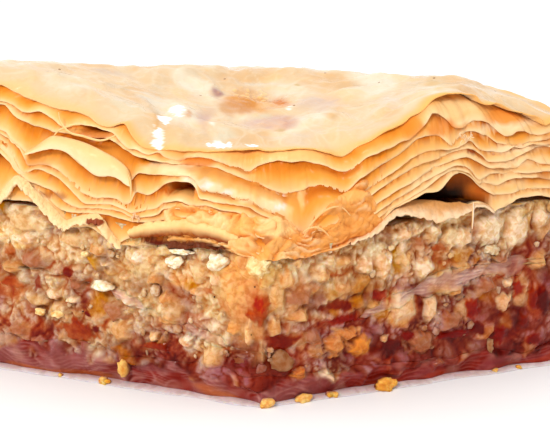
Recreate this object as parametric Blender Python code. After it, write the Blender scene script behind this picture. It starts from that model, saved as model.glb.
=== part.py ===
"""A diamond-cut piece of baklava, in metres, +Z up, standing on its base at the origin.

From the bottom up it has five layers that all run through the piece and show on its four cut sides:
a soaked phyllo base, a layer of chopped nuts, a few phyllo sheets, a second layer of nuts, and a
tall puffed crust of phyllo leaves. The knife pressed the front corner (towards -Y) down, so every
layer dips there, and the top leaves have drawn back from it.
"""

import math

import bmesh
import bpy
from mathutils import Vector, noise

# The diamond in plan: parallel strips crossed by cuts at 45 degrees
HALF_LONG = 0.0500                                     # centre to an acute corner, along X
OBTUSE_CORNER = math.radians(135.0)
HALF_SHORT = HALF_LONG / math.tan(OBTUSE_CORNER / 2)   # centre to an obtuse corner, along Y
SIDE_DISTANCE = HALF_SHORT * math.sin(OBTUSE_CORNER / 2)   # centre to a cut side
TIP_START = 0.88            # share of HALF_LONG beyond which an acute tip is crumbled round
TIP_LOSS = 0.0022           # how much shorter the crumbled tips are

# Heights where the layers meet, away from the pressed corner, and how far the corner is pressed
LAYER_GAP = 0.0003          # between two layers that touch
BASE_TOP, BASE_PRESS = 0.0041, 0.0010
MIDDLE_SHEETS, MIDDLE_PRESS = 0.0157, 0.0069
MIDDLE_THICKNESS = 0.0018
CRUST_FOOT, CRUST_FOOT_PRESS = 0.0244, 0.0038
CRUST_TOP, CRUST_TOP_PRESS = 0.0408, 0.0095
LAYER_PRESS_REACH = 0.020   # distance over which the inner layers recover their height
TOP_PRESS_REACH = 0.026     # the same for the top of the crust
BASE_TILT = 0.0019          # the base is thicker towards -X and thinner towards +X by this
LEFT_LIFT = 0.0014          # the crust opens up at the -X tip
RIGHT_DROOP = 0.0050        # the crust sags at the +X tip
DROOP_START = 0.50          # share of HALF_LONG where the sag starts
TOP_PUFF = 0.0004           # gentle blisters on the top leaf
PUFF_SIZE = 0.011

# The cut sides
NUT_BUMP = 0.0007           # how far nuts stand out of the cut or are torn out of it
NUT_SIZE = 0.0042
SHEET_BUMP = 0.0004         # unevenness of cut phyllo edges
SHEET_WAVE = 0.009
LEAVES = 6                  # bunches of leaves in the crust
LEAF_REACH = 0.0012         # a bunch's edge stands this far out of the cut
LEAF_GROOVE = 0.0016        # the gap between two bunches is this deep
LEAF_UNEVEN = 0.0009
LEAF_WAVE = 0.0006          # the bunches ripple up and down
LEAF_RIPPLES = 7            # ripples round the piece
CORNER_RETREAT = 0.42       # share of the way to the centre that the top leaves drew back
CORNER_SPREAD = 0.85        # radians to each side of the corner

SIDE_CELLS = 14             # facets along a side
CRUST_CELLS = 16


def hex_colour(code):
    """A material colour from its usual six-digit code, in the linear values that Blender uses."""
    values = [int(code[i:i + 2], 16) / 255 for i in (0, 2, 4)]
    return tuple(v / 12.92 if v <= 0.04045 else ((v + 0.055) / 1.055) ** 2.4 for v in values) + (1.0,)


def make_material(name, code, roughness):
    """A plain food material: no metal, a colour and a roughness."""
    material = bpy.data.materials.new(name)
    material.use_nodes = True
    shader = material.node_tree.nodes["Principled BSDF"]
    shader.inputs["Base Color"].default_value = hex_colour(code)
    shader.inputs["Roughness"].default_value = roughness
    shader.inputs["Metallic"].default_value = 0.0
    return material


def pressed(place, reach):
    """1 at the pressed front corner, fading to 0 with distance from it."""
    distance = (place - Vector((0.0, -HALF_SHORT))).length
    return math.exp(-(distance / reach) ** 2)


def floor_level(place):
    return 0.0


def base_level(place):
    return BASE_TOP - BASE_TILT * place.x / HALF_LONG - BASE_PRESS * pressed(place, LAYER_PRESS_REACH)


def middle_level(place):
    return MIDDLE_SHEETS - MIDDLE_PRESS * pressed(place, LAYER_PRESS_REACH)


def middle_under(place):
    return middle_level(place) - MIDDLE_THICKNESS / 2


def middle_over(place):
    return middle_level(place) + MIDDLE_THICKNESS / 2


def crust_foot(place):
    return CRUST_FOOT - CRUST_FOOT_PRESS * pressed(place, LAYER_PRESS_REACH)


def crust_top(place):
    """The top leaf: dips to the front corner, lifts at the -X tip, sags at the +X tip."""
    along = place.x / HALF_LONG
    lift = LEFT_LIFT * max(0.0, -along) ** 2
    droop = RIGHT_DROOP * (max(0.0, along - DROOP_START) / (1.0 - DROOP_START)) ** 2
    puff = TOP_PUFF * noise.noise(Vector((place.x, place.y, 0.0)) / PUFF_SIZE)
    return CRUST_TOP - CRUST_TOP_PRESS * pressed(place, TOP_PRESS_REACH) + lift - droop + puff


def nut_side(outline, height):
    """How far the cut side of a nut layer stands in (+) or out (-)."""
    return NUT_BUMP * noise.noise(Vector((outline.x, outline.y, height)) / NUT_SIZE)


def sheet_side(outline, height):
    """The same for a thin stack of phyllo sheets, which keeps nearly to the cut."""
    return SHEET_BUMP * noise.noise(Vector((outline.x, outline.y, 3 * height)) / SHEET_WAVE)


def leaf_side(outline, rise):
    """The same for the crust: the edges of its bunches stand out, the gaps between them stand in."""
    step = round(rise * 2 * LEAVES)
    uneven = LEAF_UNEVEN * noise.noise(Vector((outline.x, outline.y, 0.007 * step)) / SHEET_WAVE)
    if step in (0, 2 * LEAVES):
        return uneven
    return uneven + (-LEAF_REACH if step % 2 else LEAF_GROOVE)


def corner_retreat(place, rise):
    """Share by which the leaves near the front corner have drawn back towards the centre."""
    off_corner = math.atan2(place.x, -place.y)
    return CORNER_RETREAT * rise ** 1.5 * math.exp(-(off_corner / CORNER_SPREAD) ** 2)


def leaf_ripple(outline, rise):
    """How far a bunch of leaves rises or falls along the cut side."""
    turn = math.atan2(outline.y, outline.x)
    return LEAF_WAVE * math.sin(LEAF_RIPPLES * turn + 5.0 * rise) * math.sin(math.pi * rise)


def crumble_tips(place):
    """Shortens the two acute tips, with a round end."""
    beyond = max(0.0, abs(place.x) / HALF_LONG - TIP_START) / (1.0 - TIP_START)
    return Vector((place.x - math.copysign(TIP_LOSS * beyond ** 2, place.x), place.y))


def block(cells, rows):
    """A cube from -1 to 1 with a grid of facets: cells along two ways, rows in height."""
    bm = bmesh.new()
    bmesh.ops.create_cube(bm, size=2.0)
    for axis, pieces in enumerate((cells, cells, rows)):
        along = [e for e in bm.edges if abs(e.verts[0].co[axis] - e.verts[1].co[axis]) > 1e-6]
        bmesh.ops.subdivide_edges(bm, edges=along, cuts=pieces - 1, use_grid_fill=True)
    return bm


def make_layer(name, material, under, over, rows, side, cells=SIDE_CELLS, leafy=False):
    """Shapes a block into one layer between two levels, with its cut sides."""
    bm = block(cells, rows)
    for vertex in bm.verts:
        u, v, w = vertex.co
        rise = (w + 1) / 2
        reach = max(abs(u), abs(v))          # 0 at the middle of the piece, 1 on a cut side
        place = Vector((HALF_LONG * (u + v) / 2, HALF_SHORT * (v - u) / 2))
        outline = place / max(reach, 1e-6)
        level = rise if leafy else (1 - rise) * under(place) + rise * over(place)
        place *= 1 - reach ** 3 * side(outline, level) / SIDE_DISTANCE
        if leafy:
            place *= 1 - corner_retreat(place, rise)
        place = crumble_tips(place)
        low = under(place) + (LAYER_GAP / 2 if under is not floor_level else 0.0)
        high = over(place) - (LAYER_GAP / 2 if over is not crust_top else 0.0)
        height = (1 - rise) * low + rise * high
        if leafy:
            height += reach ** 3 * leaf_ripple(outline, rise)
        vertex.co = (place.x, place.y, height)
    bmesh.ops.triangulate(bm, faces=bm.faces[:])
    bmesh.ops.recalc_face_normals(bm, faces=bm.faces[:])
    mesh = bpy.data.meshes.new(name)
    bm.to_mesh(mesh)
    bm.free()
    mesh.materials.append(material)
    return bpy.data.objects.new(name, mesh)


def make_bottom_phyllo():
    return make_layer("bottom_phyllo", make_material("syrup_soaked_phyllo", "8A4038", 0.25),
                      floor_level, base_level, 4, sheet_side)


def make_lower_nut_filling():
    return make_layer("lower_nut_filling", make_material("syrup_soaked_nuts", "9A563C", 0.35),
                      base_level, middle_under, 6, nut_side)


def make_middle_phyllo():
    return make_layer("middle_phyllo", make_material("inner_phyllo", "B88362", 0.35),
                      middle_under, middle_over, 2, sheet_side)


def make_upper_nut_filling():
    return make_layer("upper_nut_filling", make_material("toasted_nuts", "C99A5E", 0.45),
                      middle_over, crust_foot, 6, nut_side)


def make_top_phyllo():
    return make_layer("top_phyllo", make_material("golden_crust", "F2CD8A", 0.40),
                      crust_foot, crust_top, 2 * LEAVES, leaf_side, cells=CRUST_CELLS, leafy=True)


def centre_on_origin(layers):
    """Moves the whole piece so that the middle of its box's underside is the origin."""
    corners = [vertex.co for layer in layers for vertex in layer.data.vertices]
    middle = [(min(c[axis] for c in corners) + max(c[axis] for c in corners)) / 2 for axis in (0, 1)]
    for layer in layers:
        for vertex in layer.data.vertices:
            vertex.co -= Vector((middle[0], middle[1], 0.0))


def main():
    for old in list(bpy.data.objects):
        bpy.data.objects.remove(old, do_unlink=True)
    piece = bpy.data.collections.new("baklava_piece")
    bpy.context.scene.collection.children.link(piece)
    layers = [
        make_bottom_phyllo(),
        make_lower_nut_filling(),
        make_middle_phyllo(),
        make_upper_nut_filling(),
        make_top_phyllo(),
    ]
    centre_on_origin(layers)
    for layer in layers:
        piece.objects.link(layer)


main()
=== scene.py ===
# %% [markdown]
# # A diamond of baklava
# A piece of baklava is a stack: phyllo soaked in syrup at the foot, chopped walnuts, a few more
# sheets of phyllo, more walnuts, and a tall crust of crisp leaves that buckled and fanned open in
# the oven. The solid model of that stack is loaded first. Everything made here is laid around it.

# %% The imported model
import bmesh
import bpy
import math
import random
from collections import namedtuple
from mathutils import Matrix, Vector, noise


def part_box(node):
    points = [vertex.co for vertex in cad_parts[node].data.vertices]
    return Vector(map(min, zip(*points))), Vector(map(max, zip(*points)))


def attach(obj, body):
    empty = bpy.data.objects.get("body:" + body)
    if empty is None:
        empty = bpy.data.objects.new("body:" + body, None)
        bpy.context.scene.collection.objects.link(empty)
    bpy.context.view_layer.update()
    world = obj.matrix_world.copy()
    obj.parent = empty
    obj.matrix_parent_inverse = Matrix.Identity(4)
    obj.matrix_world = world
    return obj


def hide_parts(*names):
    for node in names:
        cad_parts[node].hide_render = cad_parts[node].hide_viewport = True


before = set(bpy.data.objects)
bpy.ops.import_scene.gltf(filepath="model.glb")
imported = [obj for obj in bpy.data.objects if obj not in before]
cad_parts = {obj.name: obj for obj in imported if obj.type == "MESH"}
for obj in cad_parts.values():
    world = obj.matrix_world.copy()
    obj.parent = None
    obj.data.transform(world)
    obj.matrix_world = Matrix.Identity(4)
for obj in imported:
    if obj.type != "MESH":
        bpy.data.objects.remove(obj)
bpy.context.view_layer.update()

# %% [markdown]
# ## Measures taken from the model
# Food is measured in millimetres, so MM turns a plain number into Blender's metres. The diamond's
# half diagonals and the heights where the layers meet are read from the boxes of the solids, so
# the looks follow the model if it changes.

# %% The diamond and its levels
MM = 0.001
base_box, middle_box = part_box("bottom_phyllo"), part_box("middle_phyllo")
lower_box, upper_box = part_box("lower_nut_filling"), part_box("upper_nut_filling")
crust_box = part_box("top_phyllo")
half_short = (base_box[1].y - base_box[0].y) / 2
half_long = half_short * math.tan(math.radians(67.5))     # the knife crossed the strips at 45 degrees
middle_y = (base_box[1].y + base_box[0].y) / 2
side_distance = half_short * math.sin(math.radians(67.5))   # centre to a cut side
base_low, base_high = lower_box[0].z, base_box[1].z
sheets_low, sheets_high = middle_box[0].z, middle_box[1].z
foot_low, foot_high = crust_box[0].z, upper_box[1].z
HUMP_OVER = 0.8 * MM            # the humps of the crust rise this far over its general top
crust_top = crust_box[1].z - HUMP_OVER
CRUST_PRESS = 8.4 * MM          # how far the knife pressed the front corner of the crust down
tip = crust_box[1].x / half_long    # the acute tips are crumbled short by this share
print("diamond", round(half_long / MM, 1), "x", round(half_short / MM, 1), "mm, crust from",
      round(foot_high / MM, 1), "to", round(crust_top / MM, 1), "mm")

# %% [markdown]
# ## Walking round the diamond
# Most pieces follow the four cut sides, so one helper turns a share of the way round, from 0 at
# the left tip over the front corner at a quarter, into a place on the outline. A second one says
# how much of the knife's press is felt at a place.


# %% Outline and press
def outline(turn):
    """The place on the cut edge, a share of the way round from the left tip, front side first."""
    side, along = int(turn * 4) % 4, (turn * 4) % 1.0
    corners = [(-1, 0), (0, -1), (1, 0), (0, 1), (-1, 0)]
    here, there = corners[side], corners[side + 1]
    x = (here[0] + (there[0] - here[0]) * along) * half_long
    y = (here[1] + (there[1] - here[1]) * along) * half_short
    round_tip = max(0.0, abs(x) / half_long - 0.88) / 0.12
    return Vector((x * (1 - (1 - tip) * round_tip ** 2), y + middle_y, 0.0))


def outward(turn):
    """The direction straight out of the cut side, turned smoothly round the corners."""
    ahead, behind = outline(turn + 0.006), outline(turn - 0.006)
    along = (ahead - behind).normalized()
    return Vector((along.y, -along.x, 0.0))


CORNER_HALF = math.radians(67.5)     # half of the wide corner


def front_place(x, inset):
    """A place on the two front sides at x, as far behind the cut as the inset says."""
    edge_y = middle_y - half_short + abs(x) * half_short / half_long
    return Vector((x, edge_y + inset / math.sin(CORNER_HALF), 0.0))


def turn_at(x):
    """The way round to a place on the front sides."""
    return 0.25 * (1 + x / half_long)


def pressed(place, reach):
    """1 at the front corner that the knife pressed down, fading to 0 away from it."""
    off = math.hypot(place.x, place.y - middle_y + half_short)
    return math.exp(-(off / reach) ** 2)


def smooth(share):
    """Eases a share between 0 and 1 in and out."""
    share = min(1.0, max(0.0, share))
    return share * share * (3 - 2 * share)


def mix(first, second, share):
    """Runs from the first value to the second."""
    return first + (second - first) * share


# %% [markdown]
# The levels of the layers are functions of a place. The knife pressed the corner down, so each
# level dips there. The crust also puffs up to the left, humps at the right and droops to its tip.
# Two kinds of noise give every surface its natural unevenness. Blender starts its vector noise from
# the clock, so its seed is set here, and each run makes the same piece.


# %% Levels and noise
NOISE_SEED = 1795336873      # another whole number would only shuffle the crumbs and blotches
noise.seed_set(NOISE_SEED)


def foot_level(place):
    """Where the crust meets the filling."""
    return foot_high - (foot_high - foot_low) * pressed(place, 20 * MM)


def top_level(place):
    """The top leaf: dips to the pressed corner, puffs up to the left, humps and sags to the right."""
    along = place.x / half_long
    hump = math.exp(-((place.x / MM - 25) / 6.5) ** 2 - ((place.y / MM + 9) / 9) ** 2)
    droop = 7.2 * MM * (max(0.0, along - 0.5) / 0.5) ** 1.4
    lift = 2.6 * MM * smooth(-along / 0.8)
    return crust_top - CRUST_PRESS * pressed(place, 26 * MM) - droop + lift + 2.7 * MM * hump


def sheets_level(place):
    """The top of the sheets between the nuts."""
    return sheets_high - (sheets_high - sheets_low) * pressed(place, 20 * MM)


def base_level(place):
    """The top of the soaked sheets at the foot, which are thicker to the left."""
    return base_low + (base_high - base_low) * 0.5 * (1 - place.x / half_long)


def ripple(place, size, seed=0.0):
    """Soft noise between -1 and 1 with features of the given size."""
    return noise.noise(Vector((place.x, place.y, place.z)) / size + Vector((seed, 3.7 * seed, 1.3 * seed)))


def billow(spot, size, seed=0.0):
    """Round bumps of a size with creases between them: 0 in a crease, about 1 on a bump."""
    return 2.0 * abs(ripple(spot, size, seed))


# %% [markdown]
# ## From a flat grid to a sheet
# A leaf of phyllo is a thin sheet with a rippled rim. A flat grid is laid out so that its columns
# run round the diamond and its rows run from the rim to the middle; a function then says where
# each point goes. Welding closes the seam and the middle. The same trick wraps a band round the
# four cut sides, with the rows running from under the layer over its side to its top. Smaller
# pieces are patches of the same kind, laid over the front.


# %% Grids
def shaped_grid(columns, rows, place, layers=()):
    """A bmesh grid whose points are put in place by a function of two shares."""
    bm = bmesh.new()
    marks = {name: bm.verts.layers.float.new(name) for name in layers}
    tint = bm.verts.layers.float_color.new("tint")
    bmesh.ops.create_grid(bm, x_segments=columns, y_segments=rows, size=0.5)
    for vertex in bm.verts:
        spot, colour, values = place(vertex.co.x + 0.5, vertex.co.y + 0.5)
        vertex.co = spot
        vertex[tint] = (*colour, 1.0)
        for name, value in values.items():
            vertex[marks[name]] = value
    bmesh.ops.remove_doubles(bm, verts=bm.verts, dist=0.002 * MM)
    bmesh.ops.recalc_face_normals(bm, faces=bm.faces)
    return bm


FRONT_SHARE = 0.66    # this share of the columns serves the two front sides, which show the most


def round_grid(columns, rows, place, layers=()):
    """A grid that runs once round the diamond."""
    def placed(across, up):
        if across < FRONT_SHARE:
            turn = 0.5 * across / FRONT_SHARE
        else:
            turn = 0.5 + 0.5 * (across - FRONT_SHARE) / (1 - FRONT_SHARE)
        return place(turn % 1.0, up)
    return shaped_grid(columns, rows, placed, layers)


# %% [markdown]
# Each finished mesh becomes an object with its material, and the solid of the model that it
# replaces is hidden. A leaf gets its thickness from a Solidify modifier, which keeps both its faces
# parallel.


# %% Pieces
def add_mesh(whole, part):
    """Adds a finished small bmesh to a growing one."""
    holder = bpy.data.meshes.new("part")
    part.to_mesh(holder)
    part.free()
    whole.from_mesh(holder)
    bpy.data.meshes.remove(holder)


def make_piece(name, bm, material, replaces):
    """Turns a bmesh into a finished, smooth piece and hides the solid of the model that it replaces."""
    mesh = bpy.data.meshes.new(name)
    bm.to_mesh(mesh)
    bm.free()
    mesh.shade_smooth()
    mesh.materials.append(material)
    piece = bpy.data.objects.new(name, mesh)
    bpy.context.scene.collection.objects.link(piece)
    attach(piece, "root")
    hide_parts(replaces)
    print(name, len(mesh.polygons), "faces")
    return piece


def thicken(piece, thickness):
    """Gives a sheet its thickness."""
    wall = piece.modifiers.new("thickness", "SOLIDIFY")
    wall.thickness = thickness * MM
    wall.offset = 0.0


# %% [markdown]
# The rims of the leaves are courses: a few places with their heights, and a smooth curve through
# them. The curve is a cubic between each two places, which leaves each place with the slope of
# the line between its neighbours, so it has no corners.


# %% Courses
def pairs(text):
    """Reads a course written down as pairs of millimetres: along X, height."""
    return [tuple(float(n) * MM for n in pair.split(",")) for pair in text.split()]


def follow(course, x):
    """The height of a course at x, running smoothly through its points."""
    x = min(max(x, course[0][0]), course[-1][0])
    after = max(1, next(n for n, point in enumerate(course) if point[0] >= x))
    (x0, z0), (x1, z1) = course[after - 1], course[after]
    before, beyond = course[max(0, after - 2)], course[min(len(course) - 1, after + 1)]
    start = (z1 - before[1]) / (x1 - before[0]) * (x1 - x0)
    end = (beyond[1] - z0) / (beyond[0] - x0) * (x1 - x0)
    s = (x - x0) / (x1 - x0)
    return ((2 * s ** 3 - 3 * s ** 2 + 1) * z0 + (s ** 3 - 2 * s ** 2 + s) * start
            + (3 * s ** 2 - 2 * s ** 3) * z1 + (s ** 3 - s ** 2) * end)


# %% [markdown]
# ## Colours
# Cooks and designers name colours by their six-digit code. Blender mixes in linear light, so a
# helper converts. Everything baked or soaked is warm, but the rims of the leaves stay cream: the
# orange seen deeper between leaves is butter, syrup and light that bounced back and forth there.


# %% Colour helpers
def tone(code):
    """Linear colour for a six-digit code."""
    values = [int(code[i:i + 2], 16) / 255 for i in (0, 2, 4)]
    return Vector([v / 12.92 if v <= 0.04045 else ((v + 0.055) / 1.055) ** 2.4 for v in values])


# The leaves from the rim inwards, then the filling from dry to soaked.
CREAM, PALE, GOLD = tone("FCE4B4"), tone("F8CC84"), tone("F4AC4A")
# The toasted brown laid deep behind the rims is partly toasting and partly painted shade.
ORANGE, TOAST_AND_SHADE, PEACH = tone("EA942A"), tone("DA7A1C"), tone("D6B890")
CREASE_SHADE = tone("BE600C")      # painted shade: a dark crease just under the rim above
GAP_SHADE = tone("240602")       # painted shade: near-black, seen in the gap over the filling where the leaves stand open
NUT_CREAM, NUT_TAN, NUT_GREY = tone("F6ECCE"), tone("D6B27A"), tone("B2907A")
MAUVE, PLUM = tone("A05C62"), tone("741E20")


def steeped(colour, depth):
    """A colour seen through syrup that is so many mm deep: gold at first, then deep red."""
    return Vector([c * math.exp(-k * max(0.0, depth)) for c, k in zip(colour, (0.35, 1.35, 2.3))])


# %% [markdown]
# ## Shared surface effects
# Four effects are used by several foods, so each is a node group made once: a soft mottle, which
# gives a mask that drifts between 0 and 1; a grain, which gives a height for the bump; specks of
# spice; and fine level streaks, as a bunch of thin sheets shows them.


# %% Mottle and grain
def new_group(name, inputs, output):
    """An empty shader group with named number inputs and one number as its output."""
    group = bpy.data.node_groups.new(name, "ShaderNodeTree")
    for label, value in inputs.items():
        socket = group.interface.new_socket(label, in_out="INPUT", socket_type="NodeSocketFloat")
        socket.default_value = value
    group.interface.new_socket(output, in_out="OUTPUT", socket_type="NodeSocketFloat")
    return group, group.nodes.new("NodeGroupInput"), group.nodes.new("NodeGroupOutput")


def dial(made, values):
    """Sets inputs of a node, given by name or number."""
    for name, value in values.items():
        made.inputs[name].default_value = value
    return made


def node(tree, kind, values=None, **settings):
    """A new node with its settings and the values of its inputs."""
    made = tree.nodes.new(kind)
    for name, value in settings.items():
        setattr(made, name, value)
    return dial(made, values or {})


def join(tree, *wires):
    """Links nodes: each wire names a node and its output, then a node and its input."""
    for source, output, target, entry in wires:
        tree.links.new(source.outputs[output], target.inputs[entry])


def mottle_group():
    """Soft clouds cut to a mask that drifts between 0 and 1."""
    group, given, result = new_group("mottle", {"Scale": 200.0, "Low": 0.4, "High": 0.6}, "Mask")
    coords = node(group, "ShaderNodeTexCoord")
    cloud = node(group, "ShaderNodeTexNoise", {"Detail": 5.0, "Distortion": 0.6})
    edge = node(group, "ShaderNodeMapRange", interpolation_type="SMOOTHSTEP")
    join(group, (coords, "Object", cloud, "Vector"), (given, "Scale", cloud, "Scale"),
         (cloud, "Fac", edge, "Value"), (given, "Low", edge, "From Min"),
         (given, "High", edge, "From Max"), (edge, "Result", result, "Mask"))
    return group


def grain_group():
    """A height: coarse crumbs with a third as much fine grain over them."""
    group, given, result = new_group("grain", {"Coarse": 900.0, "Fine": 4000.0}, "Height")
    coords = node(group, "ShaderNodeTexCoord")
    total = node(group, "ShaderNodeMath", {1: 0.35}, operation="MULTIPLY_ADD")
    for size, weight in (("Coarse", 2), ("Fine", 0)):
        cloud = node(group, "ShaderNodeTexNoise", {"Detail": 3.0})
        join(group, (coords, "Object", cloud, "Vector"), (given, size, cloud, "Scale"),
             (cloud, "Fac", total, weight))
    join(group, (total, "Value", result, "Height"))
    return group


# %% [markdown]
# Specks are the middles of Voronoi cells. Streaks are noise whose height is stretched before it is
# looked up, so that it changes quickly upwards and slowly along the sheets.


# %% Specks and streaks
def speck_group():
    """Tiny dark specks: spice and burnt flour."""
    group, given, result = new_group("specks", {"Scale": 420.0, "Size": 0.08}, "Mask")
    coords = node(group, "ShaderNodeTexCoord")
    cells = node(group, "ShaderNodeTexVoronoi")
    near = node(group, "ShaderNodeMath", operation="LESS_THAN")
    join(group, (coords, "Object", cells, "Vector"), (given, "Scale", cells, "Scale"),
         (cells, "Distance", near, 0), (given, "Size", near, 1), (near, "Value", result, "Mask"))
    return group


def streak_group():
    """Noise drawn out level, so that it follows the sheets."""
    group, given, result = new_group("streaks", {"Scale": 500.0, "Flatness": 8.0}, "Mask")
    coords = node(group, "ShaderNodeTexCoord")
    parts = node(group, "ShaderNodeSeparateXYZ")
    taller = node(group, "ShaderNodeMath", operation="MULTIPLY")
    stretched = node(group, "ShaderNodeCombineXYZ")
    cloud = node(group, "ShaderNodeTexNoise", {"Detail": 4.0, "Distortion": 0.4})
    join(group, (coords, "Object", parts, "Vector"), (parts, "X", stretched, "X"),
         (parts, "Y", stretched, "Y"), (parts, "Z", taller, 0), (given, "Flatness", taller, 1),
         (taller, "Value", stretched, "Z"), (stretched, "Vector", cloud, "Vector"),
         (given, "Scale", cloud, "Scale"), (cloud, "Fac", result, "Mask"))
    return group


MOTTLE, GRAIN, SPECKS, STREAKS = mottle_group(), grain_group(), speck_group(), streak_group()
print("shared effects:", [group.name for group in (MOTTLE, GRAIN, SPECKS, STREAKS)])

# %% [markdown]
# ## Building a material
# Every food here is one Principled shader: a painted colour, broken up by the shared effects, with
# a clear coat where syrup lies. These helpers place an effect, mix colours and feed the bump.


# %% Material helpers
def effect(tree, group, **values):
    """Places a shared effect in a material with its own values."""
    return dial(node(tree, "ShaderNodeGroup", node_tree=group), values).outputs[0]


def blend(tree, amount, first, second, mode="MIX"):
    """Mixes two colours; each may be a colour or a socket, and so may the amount."""
    mixer = node(tree, "ShaderNodeMix", data_type="RGBA", blend_type=mode)
    for socket, value in ((mixer.inputs[0], amount), (mixer.inputs[6], first), (mixer.inputs[7], second)):
        if isinstance(value, bpy.types.NodeSocket):
            tree.links.new(value, socket)
        elif isinstance(value, float):
            socket.default_value = value
        else:
            socket.default_value = (*value, 1.0)
    return mixer.outputs[2]


def painted(tree):
    """The colour that was worked out point by point while the piece was shaped."""
    return node(tree, "ShaderNodeAttribute", attribute_name="tint").outputs["Color"]


def scaled(tree, amount, low, high):
    """Turns a mask into a number between low and high."""
    spread = node(tree, "ShaderNodeMapRange", {"To Min": low, "To Max": high})
    tree.links.new(amount, spread.inputs["Value"])
    return spread.outputs["Result"]


# %% The food shader
def food(name, glow, glow_depth, coat, coat_rough):
    """A Principled food material: glow is how much light soaks in, and how deep in mm."""
    material = bpy.data.materials.new(name)
    material.use_nodes = True
    tree = material.node_tree
    shader = dial(tree.nodes["Principled BSDF"], {
        "Subsurface Weight": glow, "Subsurface Radius": (1.0, 0.45, 0.16),
        "Subsurface Scale": glow_depth * MM, "IOR": 1.45, "Specular IOR Level": 0.15,
        "Specular Tint": (1.0, 0.6, 0.3, 1.0), "Coat Weight": coat, "Coat Roughness": coat_rough,
        "Coat IOR": 1.33})
    return material, tree, shader


def let_light_through(tree, shader, colour, share):
    """Thin leaves glow when light falls on their other side."""
    through = node(tree, "ShaderNodeBsdfTranslucent")
    both = node(tree, "ShaderNodeMixShader", {"Fac": share})
    tree.links.new(colour, through.inputs["Color"])
    join(tree, (shader, "BSDF", both, 1), (through, "BSDF", both, 2),
         (both, "Shader", tree.nodes["Material Output"], "Surface"))


def relief(tree, shader, height, strength, depth):
    """Feeds a height to the shader's bump."""
    bump = node(tree, "ShaderNodeBump", {"Strength": strength, "Distance": depth * MM})
    tree.links.new(height, bump.inputs["Height"])
    tree.links.new(bump.outputs["Normal"], shader.inputs["Normal"])


# %% [markdown]
# ## Baked phyllo
# A leaf's rim dries out and stays cream; further in, butter and syrup make it golden and then
# orange. That run of colour is painted while the leaf is shaped. The material adds fine streaks,
# a mottle of browning, and a thin glossy coat: the syrup that was poured over the hot crust.


# %% Phyllo materials
def baked_phyllo():
    """The leaves below: streaky and golden, and light comes through them."""
    material, tree, shader = food("baked_phyllo", 0.0, 0.2, 0.16, 0.2)
    streaks = effect(tree, STREAKS, Scale=300.0, Flatness=3.0)
    lined = blend(tree, scaled(tree, streaks, 0.25, 0.5), painted(tree), tone("FFCC90"), "MULTIPLY")
    browning = effect(tree, MOTTLE, Scale=300.0, Low=0.5, High=0.8)
    colour = blend(tree, scaled(tree, browning, 0.0, 0.3), lined, ORANGE)
    tree.links.new(colour, shader.inputs["Base Color"])
    wet = effect(tree, MOTTLE, Scale=130.0, Low=0.45, High=0.6)
    tree.links.new(scaled(tree, wet, 0.5, 0.25), shader.inputs["Roughness"])
    relief(tree, shader, effect(tree, GRAIN, Coarse=500.0, Fine=1800.0), 0.35, 0.25)
    let_light_through(tree, shader, colour, 0.12)
    return material


def top_phyllo():
    """The top leaf: browner in blotches and freckles, with more syrup on it."""
    material, tree, shader = food("top_phyllo", 0.0, 0.2, 0.5, 0.12)
    blotch = effect(tree, MOTTLE, Scale=230.0, Low=0.45, High=0.75)
    browned = blend(tree, scaled(tree, blotch, 0.0, 0.5), painted(tree), tone("E9BC80"))
    freckle = effect(tree, MOTTLE, Scale=900.0, Low=0.5, High=0.75)
    soft = blend(tree, scaled(tree, freckle, 0.0, 0.25), browned, tone("E3A868"))
    colour = blend(tree, effect(tree, SPECKS, Scale=230.0, Size=0.045), soft, tone("8A5A2C"))
    tree.links.new(colour, shader.inputs["Base Color"])
    wet = effect(tree, MOTTLE, Scale=90.0, Low=0.45, High=0.6)
    tree.links.new(scaled(tree, wet, 0.5, 0.22), shader.inputs["Roughness"])
    relief(tree, shader, effect(tree, GRAIN, Coarse=350.0, Fine=2200.0), 0.5, 0.3)
    return material


BAKED, TOP = baked_phyllo(), top_phyllo()

# %% [markdown]
# ## The course of each leaf
# Every leaf buckled in its own way. A leaf is described by the course of its front edge: pairs of
# millimetres, the place along X and the height above the board, with a smooth run between them.
# The share is where the leaf lies in the crust, 0 at its foot and 1 at its top. The inset is how
# far its rim stays behind the cut. Near the pressed corner the leaves broke off along a straight
# line across the diamond, so many millimetres in front of the middle. Each leaf climbs from its rim
# until it touches the leaf above; where it is held open it climbs less, and a dark gap is left.

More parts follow.
